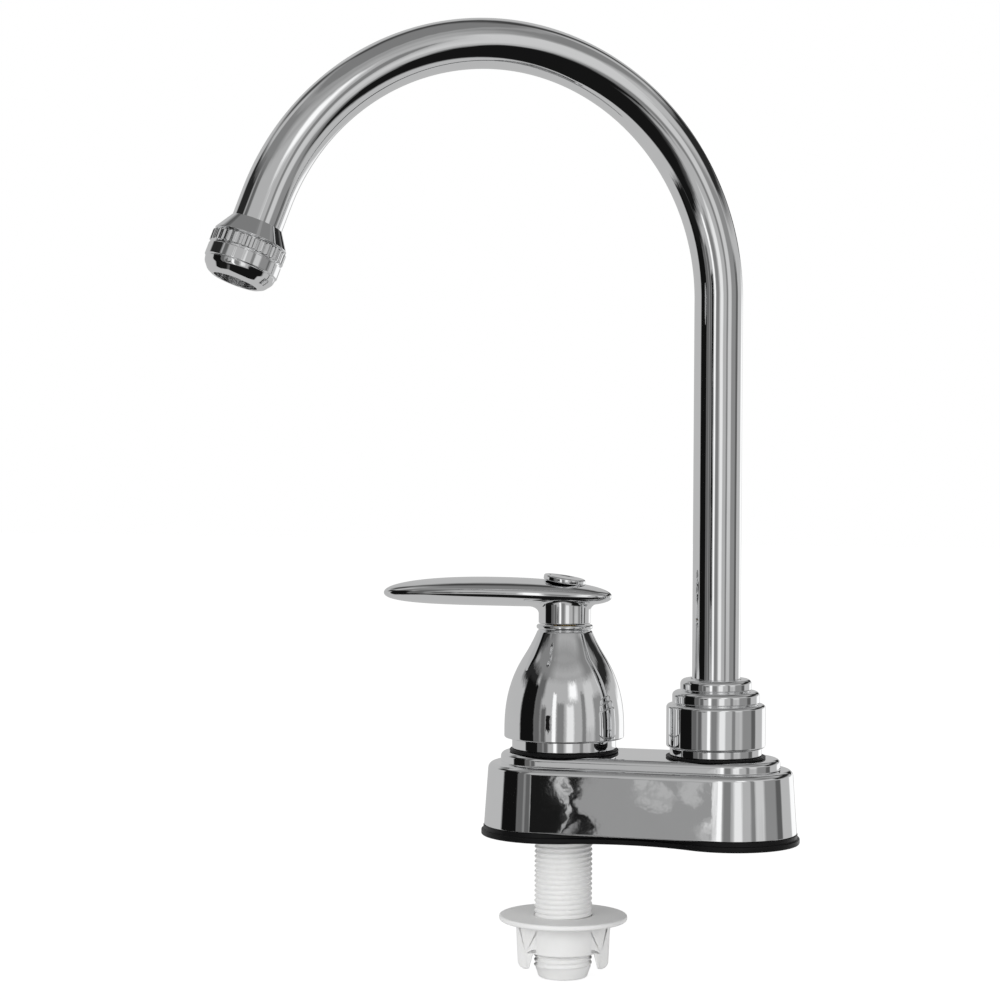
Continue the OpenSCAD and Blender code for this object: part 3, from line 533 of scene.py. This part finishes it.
def build_valve_body(sizes, finish):
    """Valve body: shank with its thread and bore, both flanges, tower and chamber."""
    low, high = span("valve_body")
    cover_low, cover_high = span("base_cover")
    shank_r, tower_r, roof = sizes.shank / 2, sizes.tower / 2, cover_high[2] - sizes.cover_wall
    end, foot, top = low[2], cover_low[2], high[2]
    port = foot + 16.4
    chamber_z, seat_z = port - 4, port - 10
    foot_r, roof_r, chamber_r, seat_r, bore_r = 16, 17, 10.2, 5.5, 7.5
    tip_h, flange_h, edge = 4, 3, 0.3
    steps = int((foot - end - tip_h) / sizes.pitch * 10)
    shank = np.stack([np.full(steps, shank_r), np.linspace(end + tip_h, foot, steps)], axis=1)
    tip = rounded([(bore_r, end, edge), (shank_r - 1.8, end, 0.8), (shank_r, end + tip_h, 0)], closed=False)
    above = rounded([
        (foot_r, foot, 0), (foot_r, foot + flange_h, edge), (tower_r, foot + flange_h, edge),
        (tower_r, roof - flange_h, edge), (roof_r, roof - flange_h, edge), (roof_r, roof, 0.1),
        (tower_r, roof, 0.1), (tower_r, top, edge), (chamber_r, top, edge), (chamber_r, chamber_z, 0.2),
        (seat_r, chamber_z, 0.2), (seat_r, seat_z, 0.2), (bore_r, seat_z, 0),
    ], closed=False)
    grid = revolve(np.concatenate([tip[:-1], shank, above]))
    grid = threaded(grid, end + 1, foot, sizes.pitch, sizes.thread_depth)
    pipe_r, boss_r, root = 5.03, 6.6, 9
    boss = rounded([(pipe_r, root, 0.1), (boss_r, root, 0.1), (boss_r, high[0], edge), (pipe_r, high[0], 0.2)])
    turn = np.array([[0, 0, 1, 0], [0, 1, 0, 0], [-1, 0, 0, port], [0, 0, 0, 1]], float)
    grids = [(grid, True, True), (moved(revolve(boss, 64), turn), True, True)]
    make_piece("valve_shank", grids, finish, "base", "valve_body", "white_plastic")


# ---- lever


def blade_grid(sizes, low, high, mid_z, rows=120, sides=96):
    """Blade: ovals whose size follows a blunt curve, u = sin(a)^e along it and cos(a)^e across it.

    The middle of each oval sinks with u squared.
    """
    e = 2 / sizes.blade_power
    a = np.linspace(-pi / 2, pi / 2, rows)[:, None]
    b = np.linspace(0, 2 * pi, sides, endpoint=False)[None, :]
    u, s = power(np.sin(a), e), power(np.clip(np.cos(a), 0, 1), e)
    x = (low[0] + high[0]) / 2 + u * (high[0] - low[0]) / 2 + 0 * b
    y = s * np.cos(b) * (high[1] - low[1]) / 2
    z = mid_z - sizes.blade_droop * u**2 + s * np.sin(b) * sizes.blade_thick / 2
    return np.stack([x, y, z], axis=2)


def blade_under(sizes, low, high, mid_z, x, y):
    """Height of the blade's underside over a point of its plan."""
    edge, u = blade_edge(sizes, low, high, x)
    across = np.clip(1 - (y / np.maximum(edge * (high[1] - low[1]) / 2, 1e-6)) ** 2, 0, 1)
    return mid_z - sizes.blade_droop * u**2 - edge * np.sqrt(across) * sizes.blade_thick / 2


def hub_grid(sizes, low, high, mid_z):
    """Hub: a round post whose wall runs out into the blade's underside in a quarter-sine fillet.

    The fillet reaches as far as the blade's edge allows in each direction.
    """
    a = np.linspace(0, 2 * pi, 128, endpoint=False)
    hub_r, foot, socket_r = sizes.hub_width / 2, low[2] - 0.15, 4.1
    search, margin, least, most, overlap = 8, 0.4, 0.3, 4.0, 0.6
    far = np.linspace(hub_r, hub_r + search, 60)[:, None]
    edge, _ = blade_edge(sizes, low, high, far * np.cos(a))
    within = np.abs(far * np.sin(a)) < edge * (high[1] - low[1]) / 2 - margin
    reach = np.clip((far * within).max(axis=0) - hub_r, least, most)
    end_r = hub_r + reach
    end_z = blade_under(sizes, low, high, mid_z, end_r * np.cos(a), end_r * np.sin(a))
    t = np.linspace(0, 1, 14)[:, None]
    r = hub_r + reach * (1 - np.cos(t * pi / 2))
    start_z = np.minimum(end_z - overlap - 0.5 * reach, mid_z - sizes.blade_thick / 2 + overlap)
    z = start_z + (end_z + 0.06 - start_z) * np.sin(t * pi / 2)
    foot_rows = rounded([
        (socket_r, foot + 1, 0), (socket_r, foot, 0.1), (hub_r, foot, 0.4), (hub_r, foot + 3, 0),
    ], closed=False)
    low_r = np.broadcast_to(foot_rows[:, :1], (len(foot_rows), len(a)))
    low_z = np.broadcast_to(foot_rows[:, 1:], (len(foot_rows), len(a)))
    rows_r = np.concatenate([0 * low_r[:1], low_r, r, 0 * r[:1]])
    rows_z = np.concatenate([low_z[:1], low_z, z, np.full((1, len(a)), mid_z)])
    return np.stack([rows_r * np.cos(a), rows_r * np.sin(a), rows_z], axis=2)


def build_lever(sizes, finish):
    """Lever: blade and hub in one casting."""
    low, high = span("lever_handle")
    mid_z = low[2] + sizes.hub_rise
    grids = [
        (blade_grid(sizes, low, high, mid_z), False, True),
        (hub_grid(sizes, low, high, mid_z), False, True),
    ]
    make_piece("lever_blade", grids, finish, "handle", "lever_handle", "chrome")


def build_button(sizes, finish):
    """Button: a disc with a rounded rim and a shallow dish, tilted with the blade's top."""
    low, _ = span("lever_handle")
    r, t, dish, rim = sizes.button_width / 2, sizes.button_thick, 0.35, 1.5
    outline = rounded([
        (0, -dish, 0), (r - rim - 0.7, -dish, 0.5), (r - rim, 0, 0.5), (r, 0, 0.7), (r, -t, 0.5), (0, -t, 0),
    ], closed=False)
    lift = Matrix.Translation((0, 0, low[2] + sizes.hub_rise + sizes.button_rise))
    turn = Matrix.Rotation(radians(sizes.button_tilt), 4, "Y")
    grid = moved(revolve(outline), np.array(lift @ turn))
    make_piece("lever_button", [(grid, False, True)], finish, "handle", "index_button", "chrome")


# ---- spout


def spout_matrix(sizes):
    """Frame of the spout's plane: +X runs out from the swivel's axis, +Z stays up."""
    place = Matrix.Translation(Vector(joint_at("spout_swivel")))
    return place @ Matrix.Rotation(pi + radians(sizes.swing), 4, "Z")


def tip_matrix(sizes):
    """Frame of the aerator: origin at the end of the bend, +Z along the flow."""
    fall = radians(sizes.fall_angle)
    u = sizes.rise_r + sizes.fall_r * np.sin(fall) + sizes.end_l * np.cos(fall)
    z = sizes.bend_z + sizes.rise_r - sizes.fall_r + sizes.fall_r * np.cos(fall) - sizes.end_l * np.sin(fall)
    return spout_matrix(sizes) @ Matrix.Translation((u, 0, z)) @ Matrix.Rotation(pi / 2 + fall, 4, "Y")


def build_tube(sizes, finish):
    """Tube: a circle carried up a straight, over a quarter bend, down a second bend and along a straight end."""
    low, _ = span("spout_tube")
    rise, fall, end = sizes.rise_r, sizes.fall_r, radians(sizes.fall_angle)
    up = np.linspace(low[2], sizes.bend_z, 60)[:-1]
    a = np.linspace(0, pi / 2, 90)[:-1]
    b = np.linspace(0, end, 90)
    out = np.linspace(0, sizes.end_l, 10)[1:]
    u = np.concatenate([0 * up, rise - rise * np.cos(a), rise + fall * np.sin(b),
                        rise + fall * np.sin(end) + out * np.cos(end)])
    z = np.concatenate([up, sizes.bend_z + rise * np.sin(a), sizes.bend_z + rise - fall + fall * np.cos(b),
                        sizes.bend_z + rise - fall + fall * np.cos(end) - out * np.sin(end)])
    heading = np.concatenate([0 * up, a, pi / 2 + b, 0 * out + pi / 2 + end])[:, None]
    c = np.linspace(0, 2 * pi, 96, endpoint=False)
    r = np.concatenate([[0], np.full(len(u), sizes.tube_width / 2), [0]])[:, None]
    u, z = (np.concatenate([v[:1], v, v[-1:]])[:, None] for v in (u, z))
    heading = np.concatenate([heading[:1], heading, heading[-1:]])
    inward = r * np.cos(c)
    grid = np.stack([u - inward * np.cos(heading), r * np.sin(c) + 0 * u, z + inward * np.sin(heading)], axis=2)
    grid = moved(grid, np.array(spout_matrix(sizes)))
    make_piece("gooseneck", [(grid, False, True)], finish, "spout", "spout_tube", "chrome")


def build_spout_nut(sizes, finish):
    """Spout nut: a tall ring and two rounded steps, turned about the swivel's axis."""
    low, high = span("spout_nut")
    r, h = (high[0] - low[0]) / 2, high[2] - low[2]
    mid_r, top_r, main_h, thread_r, hole_r, crease = r - 2.1, r - 5.0, h - 9.1, 12.2, 9.0, 0.15
    outline = rounded([
        (thread_r, 0, 0.2), (r, 0, 0.7),
        (r, main_h, 2.2), (r - 2.6, main_h + 0.05, crease), (r - 2.6, main_h + 0.5, crease),
        (mid_r, main_h + 0.6, 0.5), (mid_r, main_h + 4.7, 2.4), (top_r - 0.6, main_h + 4.75, crease),
        (top_r - 0.6, main_h + 5.2, crease), (top_r, main_h + 5.3, 0.4), (top_r, h, 1.9),
        (hole_r, h, 0.3), (hole_r, h - 1.7, 0.1), (thread_r, h - 5.4, 0.1),
    ], steps=9)
    outline[:, 1] += low[2]
    grid = revolve(outline, 160, joint_at("spout_swivel")[:2])
    make_piece("spout_nut_shell", [(grid, True, True)], finish, "base", "spout_nut", "chrome")


def build_aerator(sizes, finish):
    """Aerator: a cone on the tube's end, a fluted band, a barrel and a rounded lip."""
    tip = np.array(tip_matrix(sizes))
    tube_r, cone_r, bore_r, plug_r, plug_end = sizes.tube_width / 2, 12.5, 7.2, 10.4, 11
    cone = rounded([
        (bore_r, 0.1, 0), (tube_r + 0.15, 0, 0.12), (cone_r, 5.8, 0.25), (cone_r, 6.05, 0.1), (plug_r, 6.1, 0.1),
        (plug_r, plug_end, 0.2), (bore_r, plug_end, 0.1),
    ])
    grids = [(moved(revolve(cone), tip), True, True)]
    make_piece("aerator_cone", grids, finish, "spout", "aerator_collar", "chrome")
    inner_r, band_r, neck_r, barrel_r, mouth_r, start, mouth_z = 10.45, 12.9, 12.2, 12.7, 7.6, 6.6, 20.8
    shell = rounded([
        (inner_r, start, 0.1), (12.5, start, 0.3), (band_r, 7.1, 0.3), (band_r, 10.5, 0.3), (neck_r, 10.95, 0.1),
        (neck_r, 11.35, 0.1), (barrel_r, 11.6, 0.15), (barrel_r, 15.5, 0.2), (neck_r, 15.75, 0.1),
        (12.3, 16.0, 0.2), (12.0, 17.6, 2.4), (10.2, 19.9, 2.4), (8.4, mouth_z, 0.5), (mouth_r, mouth_z, 0.3),
        (mouth_r, 18.0, 0.1), (inner_r, 17.8, 0.1),
    ])
    grid = revolve(shell, sizes.flutes * 14)
    a = np.arctan2(grid[..., 1], grid[..., 0])
    r, t = np.hypot(grid[..., 0], grid[..., 1]), grid[..., 2]
    fade, low, high = 0.4, start + 0.1, 10.8
    on_band = np.clip((t - low) / fade, 0, 1) * np.clip((high - t) / fade, 0, 1) * (r > 12)
    groove = np.clip(0.5 + 0.9 * np.cos(sizes.flutes * a), 0, 1)
    scale = 1 - sizes.flute_depth * groove * on_band / r
    grid = np.stack([grid[..., 0] * scale, grid[..., 1] * scale, t], axis=2)
    grids = [(moved(grid, tip), True, True)]
    make_piece("aerator_shell", grids, finish, "spout", "aerator_housing", "chrome", sharp=50)


# ---- wing nut


def wing_grid(outline, half_width, round_by, clear_r):
    """Wing from its outline (x, z): layers run from one face round the edge to the other face.

    A layer's y is a share of half_width(x); near a face the outline is drawn in along its normals by
    round_by (1 - sin a) while y falls by round_by (1 - cos a). Points nearer the axis than clear_r are
    pushed straight out to it.
    """
    nxt, last = np.roll(outline, -1, axis=0), np.roll(outline, 1, axis=0)
    along = nxt - last
    normal = np.stack([along[:, 1], -along[:, 0]], axis=1)
    normal /= np.linalg.norm(normal, axis=1, keepdims=True)
    normal *= np.sign(np.sum(outline[:, 0] * nxt[:, 1] - nxt[:, 0] * outline[:, 1]))
    turns, layers = 7, 13
    a = np.linspace(0, pi / 2, turns)
    across = np.linspace(1, -1, layers)[1:-1]
    inset = np.concatenate([1 - np.sin(a), 0 * across, 1 - np.sin(a[::-1])]) * round_by
    share = np.concatenate([np.ones(turns), across, -np.ones(turns)])
    fall = np.concatenate([np.cos(a) - 1, -across, 1 - np.cos(a[::-1])]) * round_by
    rows = outline[None] - inset[:, None, None] * normal[None]
    middle = np.broadcast_to(outline.mean(axis=0), (1, *outline.shape))
    rows = np.concatenate([middle, rows, middle])
    share, fall = (np.concatenate([v[:1], v, v[-1:]])[:, None] for v in (share, fall))
    x, y, z = rows[..., 0], share * half_width(rows[..., 0]) + fall, rows[..., 1]
    r = np.hypot(x, y)
    push = np.maximum(r, clear_r) / r
    return np.stack([x * push, y * push, z], axis=2)


def build_wing_nut(sizes, finish):
    """Wing nut: a thin round flange on a short hub, and two tabs that widen toward the hub."""
    low, high = span("wing_nut")
    top, bottom, r = high[2], low[2], (high[0] - low[0]) / 2
    flange_h, hub_h, hub_wall, gap = 2, 11.6, 2.27, 0.08
    under, bore_r = top - flange_h, sizes.shank / 2 + gap
    hub_r, hub_end, tip_r = bore_r + hub_wall, under - hub_h, sizes.wing_span / 2
    body = rounded([
        (bore_r, top, 0.3), (r, top, 0.7), (r, under, 0.8), (hub_r, under, 0.5), (hub_r, hub_end, 0.6),
        (bore_r, hub_end, 0.4),
    ])
    toe_r, root_x, root_half, root_r = 2.6, 7.8, 9.6, 8.55
    tab = supported(np.concatenate([
        [[root_x, under + 0.8], [tip_r, under + 0.8], [tip_r, under - 3]],
        arc(tip_r - 0.6 - toe_r, bottom + toe_r, toe_r, 0, -130, 18),
        [[bore_r + 0.15, hub_end + 1], [root_x, hub_end + 1]],
    ]), True)
    slope = (root_half - sizes.wing_tip / 2) / (tip_r - root_r)
    slab = wing_grid(tab, lambda x: sizes.wing_tip / 2 + slope * (tip_r - x), 0.9, bore_r + 0.2)
    grids = [(revolve(body), True, True)]
    for turn in (0, pi):
        spin = np.array(Matrix.Rotation(radians(sizes.nut_turn) + turn, 4, "Z"))
        grids.append((moved(slab, spin), False, True))
    make_piece("wing_nut_shell", grids, finish, "wing_nut", "wing_nut", "white_plastic")


# ---- studio


# name, azimuth right of the camera's side, elevation, half width, half height, softness in degrees, brightness
CARDS = (
    ("ceiling", 0, 90, 200, 30, 10, 0.21),
    ("back_rafter", 180, 61, 50, 8, 10, 0.055),
    ("left_rafter", -128, 47, 14, 10, 12, 0.07),
    ("right_rafter", 146, 47, 9, 12, 8, 0.055),
    ("upper_wall", 14, 47, 104, 12, 8, 0.23),
    ("right_beam", 126, 25, 30, 9, 7, 0.022),
    ("beam_end", 162, 13, 9, 7, 5, 0.015),
    ("left_beam", -90, 29, 26, 9, 8, 0.022),
    ("left_wall", -48, 8, 10, 30, 6, 0.13),
    ("high_softbox", 14, 44, 44, 9, 22, 0.44),
    ("low_softbox", 8, 22, 48, 14, 8, 0.46),
    ("front_wall", 6, -3, 50, 22, 6, 0.46),
    ("hot_patch", 22, 27, 9, 8, 7, 1.05),
    ("left_pane", -16.5, 2, 3.6, 22, 2.4, 1.05),
    ("operator", -4, 0, 7, 16, 4, 0.22),
    ("middle_pane", 15, 2, 7, 12, 4, 0.86),
    ("right_bar", 42, 4, 4, 20, 3, 0.22),
    ("right_pane", 58, 14, 11, 18, 5, 0.62),
    ("right_wall", 78, 2, 14, 16, 5, 0.27),
    ("right_corner", 97, -1, 7, 10, 4, 0.11),
    ("far_pane", 150, -4, 15, 9, 5, 1.05),
    ("left_flag", -74, -5, 17, 33, 4, 0.006),
    ("door", -38, -2, 5, 13, 4, 0.12),
    ("shelf", -22.4, 0, 1.6, 4, 0.5, 0.31),
    ("shelf_front", -21.8, 0.4, 0.4, 0.8, 0.3, 0.46),
    ("door_edge", -28.2, 0, 4.2, 5, 0.4, 0.010),
    ("door_gap", -24.75, 0, 0.12, 3, 0.2, 0.55),
    ("front_floor", 18, -58, 70, 35, 8, 0.008),
    ("floor_right", 58, -23, 27, 11, 6, 0.008),
    ("floor_left", -64, -28, 15, 12, 6, 0.010),
    ("kerb", 2, -27, 20, 2, 6, 0.07),
)
PALE = 0.50  # brightness of the room between the cards
WOBBLES = ((55, 0.8), (22, 1.6))  # scale of the noise and its degrees, in azimuth and in elevation
OVERHEAD = 0.4  # share of the fill that is missing straight overhead
FLOOR_HALF = 4000  # half of the floor's side in millimetres
FLOOR_GLOW, FLOOR_KEEP = 1.2, 0.75  # brightness of the floor's glow to the camera, and its share
FLOOR_MIRRORED = 0.92  # brightness of the floor beside PALE where it is mirrored
# name, place and size in millimetres, share of the key's power
LAMPS = (("key_lamp", (-500, -1100, 200), 700, 1.0), ("side_lamp", (900, -700, 300), 600, 0.5))
LAMP_AIM = (20, 0, 60)
SENSOR = 36  # width in millimetres
CLIP = (0.01, 50)  # nearest and farthest distance in metres


def math(tree, kind, a, b=None, clamp=False):
    """Math node on two values or sockets."""
    node = tree.nodes.new("ShaderNodeMath")
    node.operation = kind
    node.use_clamp = clamp
    for socket, value in zip(node.inputs, (a, b)):
        if value is None:
            continue
        if isinstance(value, (int, float)):
            socket.default_value = value
        else:
            tree.links.new(value, socket)
    return node.outputs[0]


def wobble(tree, coords, scale, degrees):
    """Noise of the direction, spread about zero to the degrees given."""
    texture = tree.nodes.new("ShaderNodeTexNoise")
    texture.inputs["Scale"].default_value = scale
    texture.inputs["Detail"].default_value = 3
    tree.links.new(coords.outputs["Generated"], texture.inputs["Vector"])
    return spread(tree, texture.outputs["Fac"], -degrees, degrees)


def card_mask(tree, azimuth, elevation, card):
    """Soft-edged box in azimuth and elevation: 1 inside, 0 outside."""
    _, at_az, at_el, half_w, half_h, soft, _ = card
    sides = []
    for value, at, half in ((azimuth, at_az, half_w), (elevation, at_el, half_h)):
        away = math(tree, "ABSOLUTE", math(tree, "SUBTRACT", value, at))
        if value is azimuth:
            away = math(tree, "MINIMUM", away, math(tree, "SUBTRACT", 360, away))
        sides.append(math(tree, "DIVIDE", math(tree, "SUBTRACT", half + soft / 2, away), soft, clamp=True))
    return math(tree, "MULTIPLY", *sides)


def by_ray(tree, last, *choices):
    """Shader last, with another one in its place for each kind of ray given."""
    rays = tree.nodes.new("ShaderNodeLightPath")
    for ray, shader in choices:
        mix = tree.nodes.new("ShaderNodeMixShader")
        tree.links.new(rays.outputs[ray], mix.inputs[0])
        tree.links.new(last, mix.inputs[1])
        tree.links.new(shader.outputs[0], mix.inputs[2])
        last = mix.outputs[0]
    return last


def build_world(studio):
    """World: white to the camera, plain fill to matt surfaces, and a room of soft cards to mirrors."""
    world = bpy.data.worlds.new("studio_room")
    bpy.context.scene.world = world
    world.use_nodes = True
    tree = world.node_tree
    tree.nodes.clear()
    coords = tree.nodes.new("ShaderNodeTexCoord")
    turn = tree.nodes.new("ShaderNodeVectorRotate")
    turn.rotation_type = "Z_AXIS"
    turn.inputs["Angle"].default_value = -pi / 2 - radians(studio.front)
    parts = tree.nodes.new("ShaderNodeSeparateXYZ")
    tree.links.new(coords.outputs["Generated"], turn.inputs["Vector"])
    tree.links.new(turn.outputs["Vector"], parts.inputs["Vector"])
    x, y, z = parts.outputs
    azimuth = math(tree, "DEGREES", math(tree, "ARCTAN2", x, math(tree, "MULTIPLY", y, -1.0)))
    elevation = math(tree, "DEGREES", math(tree, "ARCSINE", z))
    azimuth, elevation = (
        math(tree, "ADD", value, wobble(tree, coords, *noise_of)) for value, noise_of in
        zip((azimuth, elevation), WOBBLES)
    )
    level = PALE
    for card in CARDS:
        mix = tree.nodes.new("ShaderNodeMix")
        tree.links.new(card_mask(tree, azimuth, elevation, card), mix.inputs["Factor"])
        if isinstance(level, float):
            mix.inputs["A"].default_value = level
        else:
            tree.links.new(level, mix.inputs["A"])
        mix.inputs["B"].default_value = card[-1]
        level = mix.outputs["Result"]
    plain, room, white = (tree.nodes.new("ShaderNodeBackground") for _ in range(3))
    for node in (plain, room, white):
        node.inputs["Color"].default_value = (1, 1, 1, 1)
    missing = math(tree, "MULTIPLY", math(tree, "MAXIMUM", z, 0.0), OVERHEAD)
    fill = math(tree, "MULTIPLY", math(tree, "SUBTRACT", 1.0, missing), studio.fill)
    tree.links.new(fill, plain.inputs["Strength"])
    tree.links.new(level, room.inputs["Strength"])
    last = by_ray(tree, plain.outputs[0], ("Is Glossy Ray", room), ("Is Transmission Ray", room),
                  ("Is Camera Ray", white))
    out = tree.nodes.new("ShaderNodeOutputWorld")
    tree.links.new(last, out.inputs["Surface"])


def build_floor(studio):
    """Pale floor just under the shank's end: white to the camera, but it keeps a soft shadow."""
    z = span("valve_body")[0][2] - studio.floor_drop
    ends = (-FLOOR_HALF, FLOOR_HALF)
    corners = [(x * MM, y * MM, float(z) * MM) for x in ends for y in ends]
    mesh = bpy.data.meshes.new("floor")
    mesh.from_pydata(corners, [], [(0, 2, 3, 1)])
    material = bpy.data.materials.new("floor_paper")
    material.use_nodes = True
    tree = material.node_tree
    shader = tree.nodes["Principled BSDF"]
    shader.inputs["Base Color"].default_value = (0.8, 0.8, 0.8, 1)
    shader.inputs["Roughness"].default_value = 0.9
    shader.inputs["Specular IOR Level"].default_value = 0.0
    glow, mirrored = (tree.nodes.new("ShaderNodeEmission") for _ in range(2))
    glow.inputs["Strength"].default_value = FLOOR_GLOW
    mirrored.inputs["Strength"].default_value = PALE * FLOOR_MIRRORED
    seen = tree.nodes.new("ShaderNodeMixShader")
    seen.inputs[0].default_value = FLOOR_KEEP
    tree.links.new(shader.outputs[0], seen.inputs[1])
    tree.links.new(glow.outputs[0], seen.inputs[2])
    last = by_ray(tree, shader.outputs[0], ("Is Glossy Ray", mirrored), ("Is Transmission Ray", mirrored),
                  ("Is Camera Ray", seen))
    tree.links.new(last, tree.nodes["Material Output"].inputs["Surface"])
    mesh.materials.append(material)
    floor = bpy.data.objects.new("floor", mesh)
    floor.visible_glossy = False
    bpy.context.scene.collection.objects.link(floor)


def build_light(name, place, size, power_w):
    """Soft square lamp that mirrors don't show."""
    data = bpy.data.lights.new(name, "AREA")
    data.size = size * MM
    data.energy = power_w
    lamp = bpy.data.objects.new(name, data)
    lamp.location = Vector(place) * MM
    lamp.rotation_euler = (Vector(LAMP_AIM) - Vector(place)).to_track_quat("-Z", "Y").to_euler()
    lamp.visible_glossy = False
    bpy.context.scene.collection.objects.link(lamp)


def build_camera(studio):
    """Camera: panned left, tilted down a little and rolled, at its place in the frame."""
    data = bpy.data.cameras.new("camera")
    data.lens = studio.lens
    data.sensor_width = SENSOR
    data.clip_start, data.clip_end = CLIP
    camera = bpy.data.objects.new("camera", data)
    turn = Matrix.Rotation(studio.pan, 4, "Z") @ Matrix.Rotation(pi / 2 - studio.tilt, 4, "X")
    turn = turn @ Matrix.Rotation(studio.roll, 4, "Z")
    camera.matrix_world = Matrix.Translation(Vector(studio.eye) * MM) @ turn
    bpy.context.scene.collection.objects.link(camera)
    bpy.context.scene.camera = camera


# ---- operators


class FaucetOperator:
    """Shared form: an operator builds its pieces from the scene's sizes and finishes."""

    bl_options = {"REGISTER", "UNDO"}

    def execute(self, context):
        self.build(context.scene.faucet_sizes, context.scene.faucet_finish)
        return {"FINISHED"}


class FAUCET_OT_deck(FaucetOperator, bpy.types.Operator):
    """Deck cover, gasket and the washers on the cover"""

    bl_idname = "faucet.deck"
    bl_label = "Deck Cover"

    def build(self, sizes, finish):
        build_cover(sizes, finish)
        build_gasket(sizes, finish)
        tower_r = sizes.tower / 2
        build_ring("handle_washer", "base_washer", tower_r, 0.5, finish, "black_rubber")
        build_ring("handle_collar", "collar_ring", tower_r, 0.5, finish, "chrome")
        build_ring("post_washer", "spout_washer", POST_HOLE, 0.35, finish, "black_rubber")
        build_ring("post_ring", "spout_base_ring", POST_HOLE, 0.5, finish, "chrome")


class FAUCET_OT_bell(FaucetOperator, bpy.types.Operator):
    """Bell and the thin disc on its neck"""

    bl_idname = "faucet.bell"
    bl_label = "Bell"

    def build(self, sizes, finish):
        build_bell(sizes, finish)
        build_ring("neck_ring", "neck_disc", NECK_HOLE, 0.7, finish, "chrome")


class FAUCET_OT_valve(FaucetOperator, bpy.types.Operator):
    """Valve body with its threaded shank, and the wing nut"""

    bl_idname = "faucet.valve"
    bl_label = "Valve and Wing Nut"

    def build(self, sizes, finish):
        build_valve_body(sizes, finish)
        build_wing_nut(sizes, finish)


class FAUCET_OT_lever(FaucetOperator, bpy.types.Operator):
    """Lever and its button"""

    bl_idname = "faucet.lever"
    bl_label = "Lever"

    def build(self, sizes, finish):
        build_lever(sizes, finish)
        build_button(sizes, finish)


class FAUCET_OT_spout(FaucetOperator, bpy.types.Operator):
    """Gooseneck tube, the nut at its foot and the aerator"""

    bl_idname = "faucet.spout"
    bl_label = "Spout"

    def build(self, sizes, finish):
        build_tube(sizes, finish)
        build_spout_nut(sizes, finish)
        build_aerator(sizes, finish)


class FAUCET_OT_inner_parts(FaucetOperator, bpy.types.Operator):
    """Finishes of the frame's own inner pieces"""

    bl_idname = "faucet.inner_parts"
    bl_label = "Inner Parts"

    def build(self, sizes, finish):
        slots = {s["node"]: s["material_slot"] for s in frame["record"]["subparts"]}
        for name, node in frame["nodes"].items():
            for slot in node.material_slots:
                slot.material = look(finish, slots[name])


class FAUCET_OT_studio(bpy.types.Operator):
    """Pale floor, soft light and the camera"""

    bl_idname = "faucet.studio"
    bl_label = "Studio"
    bl_options = {"REGISTER", "UNDO"}

    def execute(self, context):
        studio = context.scene.faucet_studio
        context.scene.view_settings.view_transform = "Standard"
        build_world(studio)
        build_floor(studio)
        for name, place, size, share in LAMPS:
            build_light(name, place, size, studio.key * share)
        build_camera(studio)
        return {"FINISHED"}


class FAUCET_PT_panel(bpy.types.Panel):
    """Sidebar panel with the sizes, the finishes and the building steps."""

    bl_label = "Gooseneck Bar Faucet"
    bl_idname = "FAUCET_PT_panel"
    bl_space_type = "VIEW_3D"
    bl_region_type = "UI"
    bl_category = "Faucet"

    def draw(self, context):
        layout = self.layout
        for group in (context.scene.faucet_sizes, context.scene.faucet_finish, context.scene.faucet_studio):
            box = layout.box()
            for name in group.__annotations__:
                box.prop(group, name)
        for operator in OPERATORS:
            layout.operator(operator.bl_idname)


GROUPS = {"faucet_sizes": FaucetSizes, "faucet_finish": FaucetFinish, "faucet_studio": FaucetStudio}
OPERATORS = (
    FAUCET_OT_deck, FAUCET_OT_bell, FAUCET_OT_valve, FAUCET_OT_lever, FAUCET_OT_spout, FAUCET_OT_inner_parts,
    FAUCET_OT_studio,
)


def register():
    for name, group in GROUPS.items():
        bpy.utils.register_class(group)
        setattr(bpy.types.Scene, name, PointerProperty(type=group))
    for operator in OPERATORS:
        bpy.utils.register_class(operator)
    bpy.utils.register_class(FAUCET_PT_panel)


def unregister():
    bpy.utils.unregister_class(FAUCET_PT_panel)
    for operator in reversed(OPERATORS):
        bpy.utils.unregister_class(operator)
    for name, group in reversed(GROUPS.items()):
        delattr(bpy.types.Scene, name)
        bpy.utils.unregister_class(group)


def main():
    """Registers the classes, and builds every piece and the studio."""
    register()
    bpy.ops.faucet.deck()
    bpy.ops.faucet.bell()
    bpy.ops.faucet.valve()
    bpy.ops.faucet.lever()
    bpy.ops.faucet.spout()
    bpy.ops.faucet.inner_parts()
    bpy.ops.faucet.studio()


if __name__ == "__main__":
    main()
